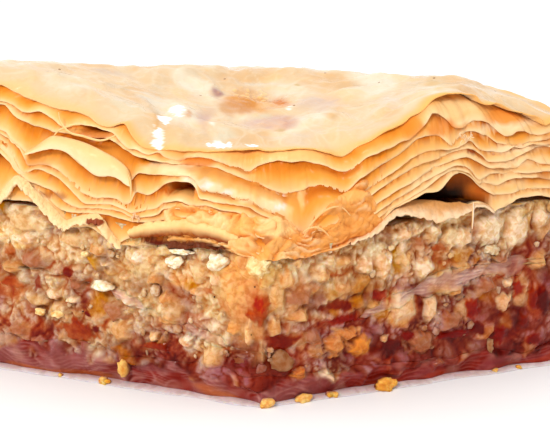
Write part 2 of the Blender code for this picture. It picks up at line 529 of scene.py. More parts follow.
# %% Leaf courses
LEAF_TABLE = (
    # share, inset, corner line, stretches held open (from x, to x, climb), course
    (1.00, 1.2, 12.8, (),
     "-36,40.9 -34.7,40.4 -32.7,39.5 -30.4,38.8 -28.2,38.2 -25.5,37.9 -23.5,37.4 -21.9,36.4 -20.6,36.2 "
     "-18.4,36.7 -17.4,35.2 -15.8,33.7 -14.9,33.5 -10.1,33.3 -7.1,33.2 -1.6,33.5 2,33.3 5.6,33.6 "
     "8.5,33.1 10.8,32.6 12.9,33.9 14.8,34.8 16.5,36 17.4,36.3 19.1,37 19.9,37.6 21.5,38.3 23,39.7 "
     "24.6,40.3 26.7,40.3 29,39.8 29.9,38.8 30.8,38.5 32.1,38.4 34.4,37.4 36.7,36.7 38.7,36 39.3,34.9 "
     "41.6,34.5"),
    (0.93, 0.9, 13.4, (),
     "-36.1,38.7 -34.3,38.3 -32.7,37.3 -30.4,37.6 -28.7,36.9 -27.4,36 -26.7,35.7 -25,36.2 -22.7,36.1 "
     "-20.6,35.6 -19.8,35.3 -18,33.5 -16.9,33.4 -15.8,33 -14.9,32.9 -13.8,33.2 -13,32.5 -11.6,32.1 "
     "-10.6,32 -10,32.4 -7.4,32.4 -6,32 -4.4,31.3 -3.2,31 -1.9,30.6 -0.5,31.4 2,32.1 3.9,32 5.6,32 "
     "7.8,31.5 9.6,30.9 10.9,30.6 12.2,31.1 13.8,32.4 15.5,33.2 17.4,33.8 18.4,34.4 19.8,34.8 "
     "20.9,35.7 22,36.8 22.8,37.9 24.2,37.4 25.1,36.6 25.9,35.7 27.2,35.6 28.6,36.4 30.4,36.1 "
     "31.7,35.2 33.2,33.9 34.2,34 35,34.6 36.1,34.5 37.2,34 39.3,33.4 41.6,32.8"),
    (0.84, 0.9, 14.2, ((-25, -20.5, 0.8),),
     "-36.1,38.2 -35.2,38.1 -33.9,36.7 -31.6,35.7 -29.5,35.3 -28.3,35 -26,34.9 -23.2,34.6 -20.4,34.5 "
     "-18,33.2 -16.9,32.6 -14.9,32.3 -9.9,31.6 -6,31.2 -3.2,30.1 -1.6,29.4 0,28.9 1.1,28.3 2.9,27.8 "
     "5.3,28.2 6.3,28.7 7.8,28.7 9.6,28.3 11,28 13,29.7 15.7,31.4 17.6,32.2 19.3,33.5 20.8,34.6 "
     "22.7,34.9 24,34.6 25.1,33.7 25.9,33.3 26.8,34.3 27.7,34.9 29.1,34.9 30.9,34.1 32.5,33 34.9,32.5 "
     "36.8,32.9 40.1,32.7"),
    (0.72, 0.7, 16, ((-17, -11.5, 1.7),),
     "-36.2,34.8 -35.3,34.4 -34.5,33.4 -33.4,32.6 -32.4,31.7 -30.9,32.2 -29,32.6 -27.2,32.6 -26.1,31.9 "
     "-24.7,30.8 -23.3,30.1 -22.5,29.6 -21.2,29.8 -20,29.7 -18.8,29.2 -17.5,29.2 -17,29.9 -16.4,30.3 "
     "-14.9,30.3 -13.2,30.4 -11.2,30.5 -9.6,30.5 -8.8,29.9 -8.3,29.1 -7.8,28.6 -6.3,28.3 -4.5,27.9 "
     "-3.7,27.4 -2,27.4 -1,26.8 0.3,26 2,25.3 3.9,24 5.6,22.5 6.2,23.3 7.8,25.5 9.3,26.4 10.3,26.4 "
     "11.4,26.4 13,27.6 15.1,28.9 17.6,30.4 19.8,31.9 21.9,32.8 24,32.9 26.1,32.9 27.3,33.3 28.3,33.7 "
     "29.7,32.4 31.7,31.9 33.3,31.7 34.7,32.4 36.8,32.8 40.1,32.1"),
    (0.60, 0.6, 17.2, (),
     "-36.2,34.2 -34.3,33.2 -33.4,32.2 -32.7,30.8 -32.3,30.1 -29.6,30.4 -28,29.8 -26.8,28.9 -25.6,27.7 "
     "-24.4,26.9 -22.5,26.4 -20.8,26.6 -19.4,26.4 -18.6,25.8 -17.7,26.2 -17,27.6 -15.9,27.5 -14.9,27.6 "
     "-14,28.2 -13.1,29.1 -12,29.6 -10.2,29.8 -9.2,29.5 -8.6,28.7 -8.3,27.8 -7.3,27.6 -6.5,27.4 "
     "-4.4,27.1 -1.9,26.6 0,25.5 2,24.8 3.8,23.7 5.6,22.5 6.5,23.7 8.1,23.3 9.3,23.9 11,24.7 13,26.4 "
     "15.7,28.2 18.5,29.8 21.2,31.1 24,31.8 26.1,32.5 28,32.7 30,31.7 31,30.7 33.3,30.5 35.5,31.1 "
     "37.8,32.1 40.1,32"),
    (0.50, 0.5, 18, ((-13, -9, 1.2),),
     "-36.3,33.3 -34.4,31.2 -33,29 -31.2,29.7 -29.3,29.3 -27.8,28.6 -26.5,27.5 -25.4,26.4 -24,25.5 "
     "-22.1,25.6 -20.4,25.7 -18.7,25.2 -17.6,24.8 -15.7,25.3 -13.9,25.9 -13,26.7 -11.2,27 -10,26.8 "
     "-9.3,26.6 -7.3,26.7 -5.5,26.5 -2.8,26 -0.9,25.2 1.7,24.1 3.8,23.4 5.5,22.3 7.7,22.7 9.7,23.3 "
     "11.7,23.9 14.4,25.7 17.1,27.4 20.6,29.1 23.3,30.5 26.2,31.4 28,31.5 29.8,30.4 31,29.9 32.7,29.7 "
     "35.1,29.6 36.8,30.5 38.8,29.6 41.7,28.9"),
    (0.40, 0.4, 18.8, (),
     "-36.3,32.4 -34.4,30.4 -33,28.4 -30.7,27.5 -29.1,27 -27.7,26 -26.3,25.1 -24.9,24.8 -22,25.1 "
     "-19.2,24.9 -17.6,24.3 -15.7,24.5 -14,25 -13.2,25.7 -11.5,26 -10.3,26 -8.8,25.9 -6.8,25.8 "
     "-4.8,25.4 -2.2,24.8 0,24 2.4,23.2 5.5,21.9 8.3,22.3 10.4,22.9 12.4,23.3 15.1,25 17.8,26.6 "
     "21.3,28.4 24.1,29.8 26.2,30.6 28.1,30 29.8,28.2 31.4,29 33.9,28.8 36.3,28.7 38.9,28.5 41.8,27.9"),
    (0.30, 0.3, 19.4, (),
     "-36.3,31.6 -34.2,29.6 -32.8,27.8 -30.9,26.7 -29.2,25.6 -27.7,24.4 -26,24.1 -23.4,24.3 -20.6,24.2 "
     "-17.6,23.7 -15,23.9 -12.2,24.6 -9.5,25 -7.3,24.6 -4.8,24.3 -2.2,23.6 0,23 2.4,22.4 5.5,21.4 "
     "8.3,21.6 11,22.1 13.9,23.1 16.5,25 19.2,26.4 22,27.8 24.8,29.6 26.3,29.9 28.1,29.5 29.6,27.8 "
     "30.4,27.7 32.3,27.4 33.9,27.8 35.6,28.1 38,27.9 40.2,27.7"),
    (0.20, 0.2, 20.2, ((-30, -27, 0.4),),
     "-36.6,25.7 -35.1,27.4 -33.7,28.4 -32.6,28 -31.3,26.7 -29.7,25.3 -27.9,23.7 -26.9,22.9 -25.8,22.7 "
     "-24,23.9 -22.6,23.9 -22,22.1 -20.9,21.4 -19.7,20.5 -18.5,21.1 -17.5,21.6 -14.7,22.1 -12.1,22.5 "
     "-10.1,22.8 -7.8,22.5 -5.9,22.2 -4.4,21.7 -2.2,21.2 0,21 2.4,21 5.5,20.9 9,21 12.1,21.6 13.9,22 "
     "15.8,23.7 17.8,25.6 20.5,26.7 22,27.3 23.7,27.2 24.4,27.7 25.6,29.1 26.5,29.5 28.1,29.1 "
     "29.2,28.1 30.1,27.2 31.8,26 34,25.8 35.6,26.3 37,26.3 38.2,26.4 40.3,26"),
    (0.08, 0.1, 0, ((13.5, 32.5, 0.5), (-22.5, -19.5, 0.3),),
     "-36.6,25 -33.6,25.1 -30.6,24.9 -29.2,23.9 -27.5,22.1 -25.6,22 -23.5,22.3 -20.9,20.8 -19.2,20.2 "
     "-15,20.8 -10.1,21.2 -7,21.6 -4.4,21.3 -2.2,20.7 0,20.4 3,20.4 5.5,20.4 9,20.8 11.7,21.4 "
     "13.9,21.9 15.5,23 17,23.9 17.8,24.5 20.1,24.3 22.9,23.6 24.1,23 25.3,23.5 27.1,23.6 29.3,24.9 "
     "31,24.6 32,23.6 32.6,23.9 34.1,24.4 35.7,25.3 38,25.3 40.3,25"),
)


Leaf = namedtuple("Leaf", "share inset corner_line held_open course")
LEAVES = [Leaf(*row) for row in LEAF_TABLE]
print(len(LEAVES), "leaves")

# %% [markdown]
# ## The rims of all leaves
# In plan a rim keeps behind the cut by its inset, with small tears. Its height follows its course
# at the front. The back and the tips have no courses: there the leaves share out the height of
# the crust and ripple together. All rims at a place are worked out at once, from the top down, as
# no leaf may rise above the one over it.


# %% Rims in plan and in height
TOUCH = 0.16 * MM        # leaves that touch lie this far apart, middle to middle
RIM_GAP = 0.20 * MM      # and their rims at least this far
COURSE_END, COURSE_FADE = 43 * MM, 5 * MM    # the courses end here, and fade over this length


def rim_place(leaf, turn, seed):
    """Where the rim of a leaf lies in plan: behind the cut, and behind the break at the corner."""
    edge = outline(turn) - Vector((0.0, middle_y, 0.0))
    torn = (0.10 * ripple(edge, 0.5 * MM, seed + 1) + 0.18 * ripple(edge, 1.1 * MM, seed)
            + 0.4 * ripple(edge, 5 * MM, seed + 2))
    torn += 0.4 * smooth((edge.x / MM - 20) / 6) * ripple(edge, 3 * MM, seed + 8)
    keep = 1 - (leaf.inset + torn) * MM / side_distance
    if leaf.corner_line and edge.y < 0:
        keep = min(keep, (leaf.corner_line - torn) * MM / -edge.y)
    return edge * keep + Vector((0.0, middle_y, 0.0)), keep


def lying(spot, share):
    """The height of a leaf deep in the stack."""
    return mix(foot_level(spot), top_level(spot), share)


def wavy_rim(leaf, number, spot, seed):
    """A rim's height at the back and the tips: bunches droop and ripple together."""
    share = leaf.share * (1 + (0.06 * ripple(spot, 7 * MM, seed) if number else 0.0))
    waves = 0.8 * ripple(spot, 8 * MM, 50 + 0.3 * number) + 0.35 * ripple(spot, 3 * MM, seed)
    return lying(spot, share) + (0.8 * waves - 0.4) * MM


COURSES = [pairs(leaf.course) for leaf in LEAVES]
Rim = namedtuple("Rim", "place keep height")
RIMS_AT = {}       # rims already worked out, by the way round


def rims_at(turn):
    """All rims at one place on the way round, from the top down."""
    key = round(turn, 6)
    if key not in RIMS_AT:
        rims = []
        for number, leaf in enumerate(LEAVES):
            spot, keep = rim_place(leaf, turn, 10.0 + number)
            front = smooth((0.5 - turn) / 0.01 + 0.5) * smooth((COURSE_END - abs(spot.x)) / COURSE_FADE)
            drawn = follow(COURSES[number], spot.x)
            height = mix(wavy_rim(leaf, number, spot, 10.0 + number), drawn, front)
            height += (0.12 * ripple(spot, 1.6 * MM, 30.0 + number)
                       + 0.05 * ripple(spot, 0.6 * MM, 33.0 + number)) * MM
            height += 0.25 * MM * ripple(spot, 2.4 * MM, 60.0 + number) * smooth((spot.x / MM - 22) / 8)
            if rims:
                height = min(height, rims[-1].height - RIM_GAP)
            rims.append(Rim(spot, keep, height))
        RIMS_AT[key] = rims
    return RIMS_AT[key]


# %% [markdown]
# ## How a leaf climbs
# Behind its rim a leaf rises until it clings to the leaf above, quickly where they are close. The
# few that are held open rise only a little, so that a dark gap stays over them.


# %% Height behind the rim
FREE_CLIMB = 6.5 * MM      # more than any leaf has to climb


def climb_limit(leaf, spot):
    """How far a leaf may climb before it is held open, in metres."""
    limit, x = FREE_CLIMB, spot.x
    if spot.y > middle_y:
        return limit
    for start, end, climb in leaf.held_open:
        inside = smooth((x / MM - start) / 0.8 + 0.5) * smooth((end - x / MM) / 0.8 + 0.5)
        limit = mix(limit, climb * MM, inside)
    return limit


def leaf_height(number, rims, depth, flat):
    """How high a leaf lies so far behind its rim: it climbs until it clings to the leaf above."""
    spot, keep, low = rims[number]
    if number == 0:
        return mix(low, top_height(flat) - 0.25 * MM, smooth(depth / (4 * MM)) ** 0.6)
    upper = rims[number - 1]
    behind = max(0.0, depth - max(0.0, keep - upper.keep) * side_distance)
    gap = max(upper.height - low - TOUCH, 0.02 * MM)
    rise = math.exp(-depth / (0.16 * MM + 0.14 * gap))
    clinging = leaf_height(number - 1, rims, behind, flat) - TOUCH - gap * rise
    return min(clinging, low + climb_limit(LEAVES[number], spot) * (1 - rise))


# %% [markdown]
# ## The colour of a leaf
# The colour runs with the climb: cream at the rim, gold, then orange under the leaf above, partly
# butter and partly painted shade. Where sheets cling together their pale rim is wider. The crease
# under each rim and an open gap get painted shade. Painted highlights, painted shade in gaps and
# light patches at the front are listed by place.


# %% Wide rims and marks
# Wider pale rims: partly sheets that cling together, partly a painted highlight on lit ridges. A wider rim
# also weakens the painted crease shade.
WIDE_RIMS = (
    # leaf, from x, to x, times wider
    (1, -20, 8, 1.6), (1, 22, 42, 2.2), (3, -13, 3, 3.5), (2, 20, 42, 1.6), (4, 20, 42, 1.8),
    *((leaf, 20, 42, 2.0) for leaf in range(5, 10)),
)
SHINE_AND_SHADE_MARKS = (
    # painted highlights, painted shade in the gaps and light patches on the leaves below: x, height, half
    # width, half height
    "-9.8,30.3,1.0,0.6,FFF0CC,.7 -8.2,29.5,1.2,0.5,FFF2D0,.85 -6.5,28.8,1.2,0.5,FFF2D0,.85",
    "-4.5,28.1,1.3,0.5,FFF2CC,.85 -2.5,27.6,1.3,0.6,FFEEC0,.8 -0.5,27.0,1.3,0.5,FFEEC0,.8",
    "1.3,26.4,1.4,0.7,FFF2CC,.9 3.1,25.7,1.0,0.6,FFEEC0,.8 -7.4,29.0,0.8,0.3,FFFFFF,1",
    "-4.6,28.2,0.8,0.2,FFFFFF,.9 2.3,26.2,0.9,0.3,FFFFFF,1 -9.6,30.2,0.6,0.2,FFFFF4,.8",
    "-8.5,31.8,2.1,0.6,DC7814,.75 1.9,30.9,2.4,0.9,EC9028,.6 0.0,29.6,1.6,0.4,F4A848,.4",
    "-3.6,32.9,4.0,0.5,FFC878,.6 5.1,32.6,3.9,0.6,FFD48C,.6 -13.1,31.1,3.0,0.5,FFF0C8,.6",
    "-13.5,28.9,2.4,0.4,F0B060,.5 -11.1,28.2,2.3,0.5,C05A0E,.85 -32.3,24.4,2.4,0.6,6A1C06,.8",
    "-28.6,26.1,1.7,0.5,A04810,.7 -21.7,22.8,1.5,0.4,7A2006,.8 -22.9,35.0,2.7,0.4,C86A10,.8",
    "-30.8,30.5,2.0,0.7,D8842C,.5 -10.7,21.4,6.3,0.6,5A1004,.95 -15.1,21.3,2.0,0.4,5A1004,.9",
    "4.4,25.7,1.0,1.7,FCC468,.5 5.3,27.4,0.5,1.6,FFE2A0,.6 3.4,24.6,0.6,1.3,FFE0A0,.5",
    "28.5,32.1,0.7,0.4,8A2808,.85 33.5,29.3,4.5,0.4,E8A858,.4 39.3,27.8,1.0,0.8,C87428,.6",
    "39.8,33.0,0.9,0.9,D88428,.5 26.0,38.1,3.1,0.8,FCE0A8,.8 34.1,36.7,3.4,1.2,F29C3C,.85",
    "28.2,35.6,2.3,0.5,F0A040,.5 33.3,35.2,4.4,0.5,FFF0CC,.7 26.0,36.2,2.9,0.4,FFEEC4,.6",
    "20.0,36.2,1.4,1.4,F09838,.8 24.1,35.9,2.0,1.1,F0922C,.8 21.9,33.1,2.8,1.1,F8C070,.5",
    "21.8,31.4,3.7,0.6,F6B860,.4 36.0,24.2,2.1,0.3,5A1404,.8 34.9,32.0,4.5,0.5,FFF0D0,.5",
    "35.7,30.1,4.2,0.5,FFEAC0,.5 32.9,27.2,3.6,0.4,FBE0B0,.5 33.7,25.3,3.0,0.4,FBE2B4,.5",
    "12.8,21.5,1.1,0.4,8A3408,.8 15.2,21.0,0.5,0.4,8A3408,.8",
)


def entries(rows):
    """Takes listed rows apart: four numbers for each entry, then the rest as words."""
    for entry in " ".join(rows).split():
        x, level, wide, high, *rest = entry.split(",")
        yield (float(x), float(level), float(wide), float(high), *rest)


LEAF_SHINE_AND_SHADE = [(*place, tone(code), float(strength)) for *place, code, strength in entries(SHINE_AND_SHADE_MARKS)]
print(len(LEAF_SHINE_AND_SHADE), "marks on the leaves")


# %% Colour behind the rim
def wide_rim(number, x):
    """Where sheets cling together the pale rim is wider; on lit ridges it is a painted highlight."""
    wider = 1.0
    for leaf, start, end, times in WIDE_RIMS:
        if leaf == number:
            wider += (times - 1) * smooth((x / MM - start) / 3 + 0.5) * smooth((end - x / MM) / 3 + 0.5)
    return wider


def baked_colour(share, depth):
    """From the cream rim over gold to orange, and a toasted brown, partly painted shade, deep in the gap.
    """
    colour = CREAM.lerp(PALE, smooth(share / 0.2))
    colour = colour.lerp(GOLD, smooth((share - 0.15) / 0.35))
    colour = colour.lerp(ORANGE, smooth((share - 0.5) / 0.4))
    return colour.lerp(TOAST_AND_SHADE, smooth((depth / MM - 1.8) / 2.5))


def with_shine_and_shade(colour, spot, depth):
    """Lays the listed painted highlights and painted shade over the colour of a leaf."""
    bent = spot + 0.4 * MM * noise.noise_vector(spot / (1.8 * MM))
    level = bent.z / MM - 0.27 * depth / MM
    for x, z, wide, high, shade, strength in LEAF_SHINE_AND_SHADE:
        off = math.hypot((bent.x / MM - x) / wide, (level - z) / high)
        if off < 1.35:
            colour = colour.lerp(shade, strength * smooth((1.35 - off) * 1.6))
    return colour


ARCH_FROM, ARCH_TO = 15, 31.5      # mm along X: the two lowest leaves arch over a gap here, which is painted dark as painted shade
DARK_BELOW, DARK_SLOPE = 27.6, 0.3   # the painted shade is near-black below this height, lower to the right


def leaf_colour(number, rims, spot, height, depth):
    """The colour of a leaf at a place: height is how high it has climbed there."""
    leaf, seed, (edge, _, low) = LEAVES[number], 10.0 + number, rims[number]
    gap_height = rims[number - 1].height - low
    climb = min(1.0, max(0.0, height - low) / max(gap_height, 0.3 * MM))
    shade = climb * min(1.0, max(0.35, gap_height / (2.2 * MM)))
    luck = 1 + (0.7 if edge.x < 20 * MM else 1.1) * ripple(edge, 4 * MM, seed + 6)
    luck += 0.25 * ripple(spot, 1.3 * MM, seed + 7)
    wider = wide_rim(number, edge.x)
    colour = baked_colour(shade / (wider * max(0.45, luck)), depth)
    # Painted shade: where a leaf climbs close under the rim above, the crease there is darkened.
    pooled = smooth((climb - 0.5) / 0.45) * min(1.0, gap_height / (0.8 * MM))
    pooled *= 0.4 if number == 1 else 1.0
    colour = colour.lerp(CREASE_SHADE, 0.9 * pooled * min(1.0, 1.8 / wider))
    # Painted shade: where a leaf is held open, the gap behind its rim is painted dark, lighter towards its
    # top.
    held = smooth((1.3 * MM - climb_limit(leaf, edge)) / (0.6 * MM)) * smooth((depth / MM - 0.3) / 0.8)
    gap = GAP_SHADE if number == len(LEAVES) - 1 else tone("8E3E08")
    colour = colour.lerp(gap.lerp(tone("C06824"), smooth((spot.z - low) / (1.6 * MM) - 2)), held)
    if edge.y >= middle_y:
        return colour
    # Painted shade: under the arch of the two lowest leaves the gap is painted orange-brown, near-black
    # below.
    if number >= len(LEAVES) - 2:
        x = spot.x / MM
        arch = smooth((x - ARCH_FROM) / 2) * smooth((ARCH_TO - x) / 1.5) * smooth((depth / MM - 0.25) / 0.3)
        deep_shadow = smooth((DARK_BELOW - DARK_SLOPE * (x - 24) - spot.z / MM) / 0.8 + 0.5)
        colour = colour.lerp(tone("CC6A1C").lerp(GAP_SHADE, deep_shadow), arch)
    return with_shine_and_shade(colour, spot, depth)


# %% [markdown]
# ## One leaf
# The columns of the grid run round the diamond. The rows run from the rim inwards, close together
# at first, because the first millimetres are the ones that show. Deep in the stack the leaf lies flat.


# %% Leaf grid
def leaf_grid(number, rows=20, columns=700):
    """One leaf: its rim follows its course, climbs under the leaf above, then lies flat."""
    seed = 10.0 + number

    def place(turn, up):
        rims = rims_at(turn)
        edge, keep, _ = rims[number]
        inward = 0.30 * (up / 0.8) ** 1.8 if up < 0.8 else 0.30 + 0.70 * (up - 0.8) / 0.2
        depth = inward * side_distance * keep
        spot = Vector((edge.x * (1 - inward), mix(edge.y, middle_y, inward), 0.0))
        climbed = 1 - math.exp(-depth / (0.3 * MM))
        crease = (0.04 * ripple(edge, 1.6 * MM, seed + 5) + 0.08 * ripple(spot, 1.2 * MM, seed + 4)
                  + 0.03 * ripple(spot, 0.5 * MM, seed + 3)) * climbed * MM
        height = leaf_height(number, rims, depth, spot) + crease
        spot.z = mix(height, lying(spot, LEAVES[number].share), smooth((depth / MM - 2.5) / 4.0))
        return spot, leaf_colour(number, rims, spot, height, depth), {}

    return round_grid(columns, rows, place)


# %% [markdown]
# ## The top leaf
# The top leaf is one broad sheet with blisters and wrinkles. Syrup lies in a hollow near the middle
# and shows amber through its bubbles; around it the sheet is drawn up in a pale fold. The hollows,
# blisters and stains are listed with their place, their half widths and their height or colour. The
# white stains are painted highlights.

# %% Blisters and stains
BLISTERS = (
    # x, y, half width, half depth, height; all in mm
    (-15.0, 17.5, 1.5, 1.4, 1.7), (-11.0, 18.5, 1.3, 1.2, 1.6), (-33, 4, 6, 4, 0.5),
    (19.5, 10.5, 3.6, 2.0, 1.0), (-0.5, 12.0, 5.5, 2.0, 0.7), (-0.5, 5.5, 4.8, 2.8, -0.7),
    (28, 6, 6, 4, 0.8), (12.5, 3.5, 3.5, 3, 0.5), (-6, -7, 5, 2.2, 0.4), (16, -5, 3, 3, 0.5),
    (-12, 12, 8.5, 8, 1.3), (7, 14, 9, 6, 0.8), (24.5, 0, 3, 9, -0.5), (-11, -4.5, 3, 2.5, 0.5),
    (-13, -5, 2.0, 3.0, -0.5), (-22, 8, 5, 2, 0.4), (8, -4, 4, 2, 0.4), (-27, -2, 4, 1.5, 0.3),
)
STAINS_AND_GLINTS = (
    # x, y, half width, half depth in mm, colour, strength; white ones of full strength are painted
    # highlights
    "-22.0,5.1,2.7,2.0,C6AB92,.7 -20.0,-0.4,1.8,2.2,C8A46E,.6 -27.9,-3.3,3.0,3.1,CDB58D,.5",
    "-18.6,-7.9,2.7,3.1,D3C6A7,.6 -14.3,-9.2,0.6,2.2,C58931,.8 -10.1,-5.1,0.7,1.3,BC7116,.8",
    "-12.2,-16.3,1.9,2.7,BF7F33,.7 -7.8,-5.3,1.1,4.6,C49D8B,.85 -6.6,4.6,1.0,1.8,966868,.9",
    "-1.5,2.3,4.8,4.4,CA7D16,.9 2.6,3.1,1.7,2.8,C66F16,.99 -3.2,0.5,2.3,2.3,BF7316,.7",
    "-5.1,-1.5,1.7,2.2,C68B4F,.8 -0.2,8.7,4.1,1.2,D3C5AE,.8 1.0,-4.6,4.4,2.5,C49D8D,.85",
    "0.2,-2.4,1.3,1.3,CFBA96,.8 2.6,-6.6,1.0,0.6,A4884F,.6 5.4,7.6,0.6,0.8,B58D26,.7",
    "8.1,1.2,3.9,3.2,C6A796,.75 9.6,-4.0,1.6,1.4,BC8D52,.7 11.8,5.7,3.4,2.1,C8A77D,.6",
    "17.7,-2.8,1.8,4.3,D3C4B2,.7 19.6,-15.8,1.6,4.0,C4802A,.8 15.2,-16.0,1.9,3.0,C8965D,.6",
    "11.7,-12.9,1.8,1.5,CBA97A,.5 -11.8,-4.4,1.6,2.1,FFFFFF,1 -13.2,-8.6,0.9,1.8,FFFFFF,1",
    "-14.0,-12.0,0.7,1.5,FFFFFF,1 -14.5,-15.2,0.5,1.3,FFFFFF,1 -12.9,-14.8,0.7,0.9,FFFFFF,1",
    "-6.6,-7.4,0.5,1.0,FFFFFF,.6 -5.5,-11.4,2.4,0.8,FFFFFF,1 -1.5,-11.0,1.2,0.7,FFFFFF,1",
    "3.6,0.2,0.4,0.8,FFFFFF,1 -10.3,-22.4,0.5,1.4,FFFFFF,1 -5.4,-8.9,2.1,2.0,D3CBB2,.7",
    "-8.9,1.7,1.1,1.8,CCB6A0,.5 -14.6,1.8,2.4,2.0,CBB088,.5 -10.7,8.9,2.3,1.8,CAAC83,.5",
    "5.1,-9.2,2.4,1.7,CDB69D,.5 25.0,1.0,1.9,7.1,CDB281,.5 3.8,-4.8,1.9,1.9,BF8B76,.7",
    "-15.7,-2.1,2.4,2.7,D3CDBC,.7",
)
TOP_STAINS_AND_GLINTS = [(*place, tone(code), float(strength)) for *place, code, strength in entries(STAINS_AND_GLINTS)]
print(len(BLISTERS), "blisters and hollows,", len(TOP_STAINS_AND_GLINTS), "stains")


# %% Height of the top
def hill(spot, x, y, wide, deep):
    """1 in the middle of an uneven oval, 0 outside it."""
    along, across = (spot.x / MM - x) / wide, ((spot.y - middle_y) / MM - y) / deep
    if along * along + across * across > 4:
        return 0.0
    off = math.hypot(along, across) + 0.35 * ripple(spot, 2.6 * MM, x)
    return smooth(1.25 - off)


def skewed(flat):
    """A place moved so that the fine folds of the top run aslant."""
    return flat + Vector((0, 0.3 * flat.x, 0))


def top_height(spot):
    """The top surface: its general level, folds of two sizes, grain, and the listed blisters."""
    flat = Vector((spot.x, spot.y, 0.0))
    height = top_level(flat) + 0.30 * MM * ripple(flat, 8 * MM, 2.0)
    height += 0.16 * MM * (1 - abs(ripple(flat, 4 * MM, 5.0)) * 3)
    height += 0.10 * MM * (1 - abs(ripple(skewed(flat), 2.2 * MM, 6.0)) * 3)
    height += 0.06 * MM * ripple(flat, 1.2 * MM, 8.0)
    return height + sum(MM * high * hill(flat, x, y, wide, deep) for x, y, wide, deep, high in BLISTERS)


# %% [markdown]
# The colour of the top is laid on in turns: the dry rim, the mottled skin, pale lines on the folds,
# the listed stains, and last the bubbles in the syrup, whose tops get a painted highlight. A stain of
# full strength is a painted highlight: white light glinting on thick syrup, so its outline is broken up.


# %% Top leaf
def top_colour(edge, flat, depth):
    """The colour of the top leaf at a place so deep behind its rim."""
    golden = 0.6 * smooth((edge.x / MM + 24) / 10) if edge.y < middle_y else 0.0
    rim = tone("E6B67A").lerp(GOLD, golden)
    colour = rim.lerp(PEACH, smooth(depth / MM / 1.2 - 0.1 + 0.3 * ripple(edge, 4 * MM, 9.0)))
    inner = smooth(depth / MM / 2 - 0.3)
    colour = colour.lerp(tone("CFA06A"), 0.55 * inner * smooth(2.2 * ripple(flat, 6 * MM, 12.0)))
    colour = colour.lerp(tone("E0D4BC"), 0.8 * inner * smooth(2.2 * ripple(flat, 7 * MM, 13.0)))
    folds = ripple(flat, 4 * MM, 5.0), ripple(skewed(flat), 2.2 * MM, 6.0)
    crest = max(smooth(1 - 14 * abs(folds[0])), 0.7 * smooth(1 - 9 * abs(folds[1])))
    colour = colour.lerp(tone("F0E6CC"), 0.22 * crest * inner)
    bend = 1.1 * noise.noise_vector(flat / (3.5 * MM)) + 0.35 * noise.noise_vector(flat / MM)
    bent = flat + bend * MM
    for x, y, wide, deep, shade, strength in TOP_STAINS_AND_GLINTS:
        cover = hill(bent if strength < 1.0 else flat, x, y, wide, deep)
        # Painted highlights: a white stain of full strength gets a broken outline.
        if strength == 1.0 and cover > 0.1:
            cover += 0.8 * ripple(flat, 0.8 * MM, 27.0) + 0.5 * ripple(flat, 0.4 * MM, 28.0)
            cover = smooth((cover - 0.5) * 5)
        colour = colour.lerp(shade, strength * cover)
    return colour


def top_leaf(rows=84, columns=560):
    """The top leaf: from its rim it rises to the blistered top."""
    def place(turn, up):
        edge, keep, low = rims_at(turn)[0]
        inward = up ** 1.25
        depth = inward * side_distance * keep
        spot = Vector((edge.x * (1 - inward), mix(edge.y, middle_y, inward), 0.0))
        spot.z = mix(low, top_height(spot), smooth(depth / (4 * MM)) ** 0.6)
        flat = Vector((spot.x, spot.y, 0.0))
        bubbles = billow(flat, 0.9 * MM, 23.0) * hill(flat, -0.8, 5.0, 5.5, 4.0)
        spot.z += 0.22 * MM * bubbles
        colour = top_colour(edge, flat, depth)
        # Painted highlight: the tops of the bubbles are painted pale.
        return spot, colour.lerp(PALE, 0.55 * smooth(2.5 * bubbles - 1.2)), {}

    return round_grid(columns, rows, place)


# %% The crust, leaf by leaf
LEAF_THICK, TOP_THICK = 0.14, 0.18      # mm


def crust_piece(name, bm, thickness=0.0, material=BAKED):
    """A piece of the crust. A sheet is given its thickness in mm, and a closed tube needs none."""
    piece = make_piece(name, bm, material, "top_phyllo")
    if thickness:
        thicken(piece, thickness)


crust_piece("leaf_01", top_leaf(), TOP_THICK, TOP)
for number in range(1, len(LEAVES)):
    crust_piece(f"leaf_{number + 1:02d}", leaf_grid(number), LEAF_THICK)


# %% [markdown]
# ## Leaves glued together
# Low behind the pressed corner, and up the slope to its right, knife and syrup squashed the leaves
# into one crumpled, glazed mass. Their rims are soft ridges that come and go, with lumps, folded
# flaps and small holes between them. So a skin is laid over the rims there. Its rows follow the
# leaves, counted from the top, and the relief of soft rims, lumps and crumbs is worked out in it.

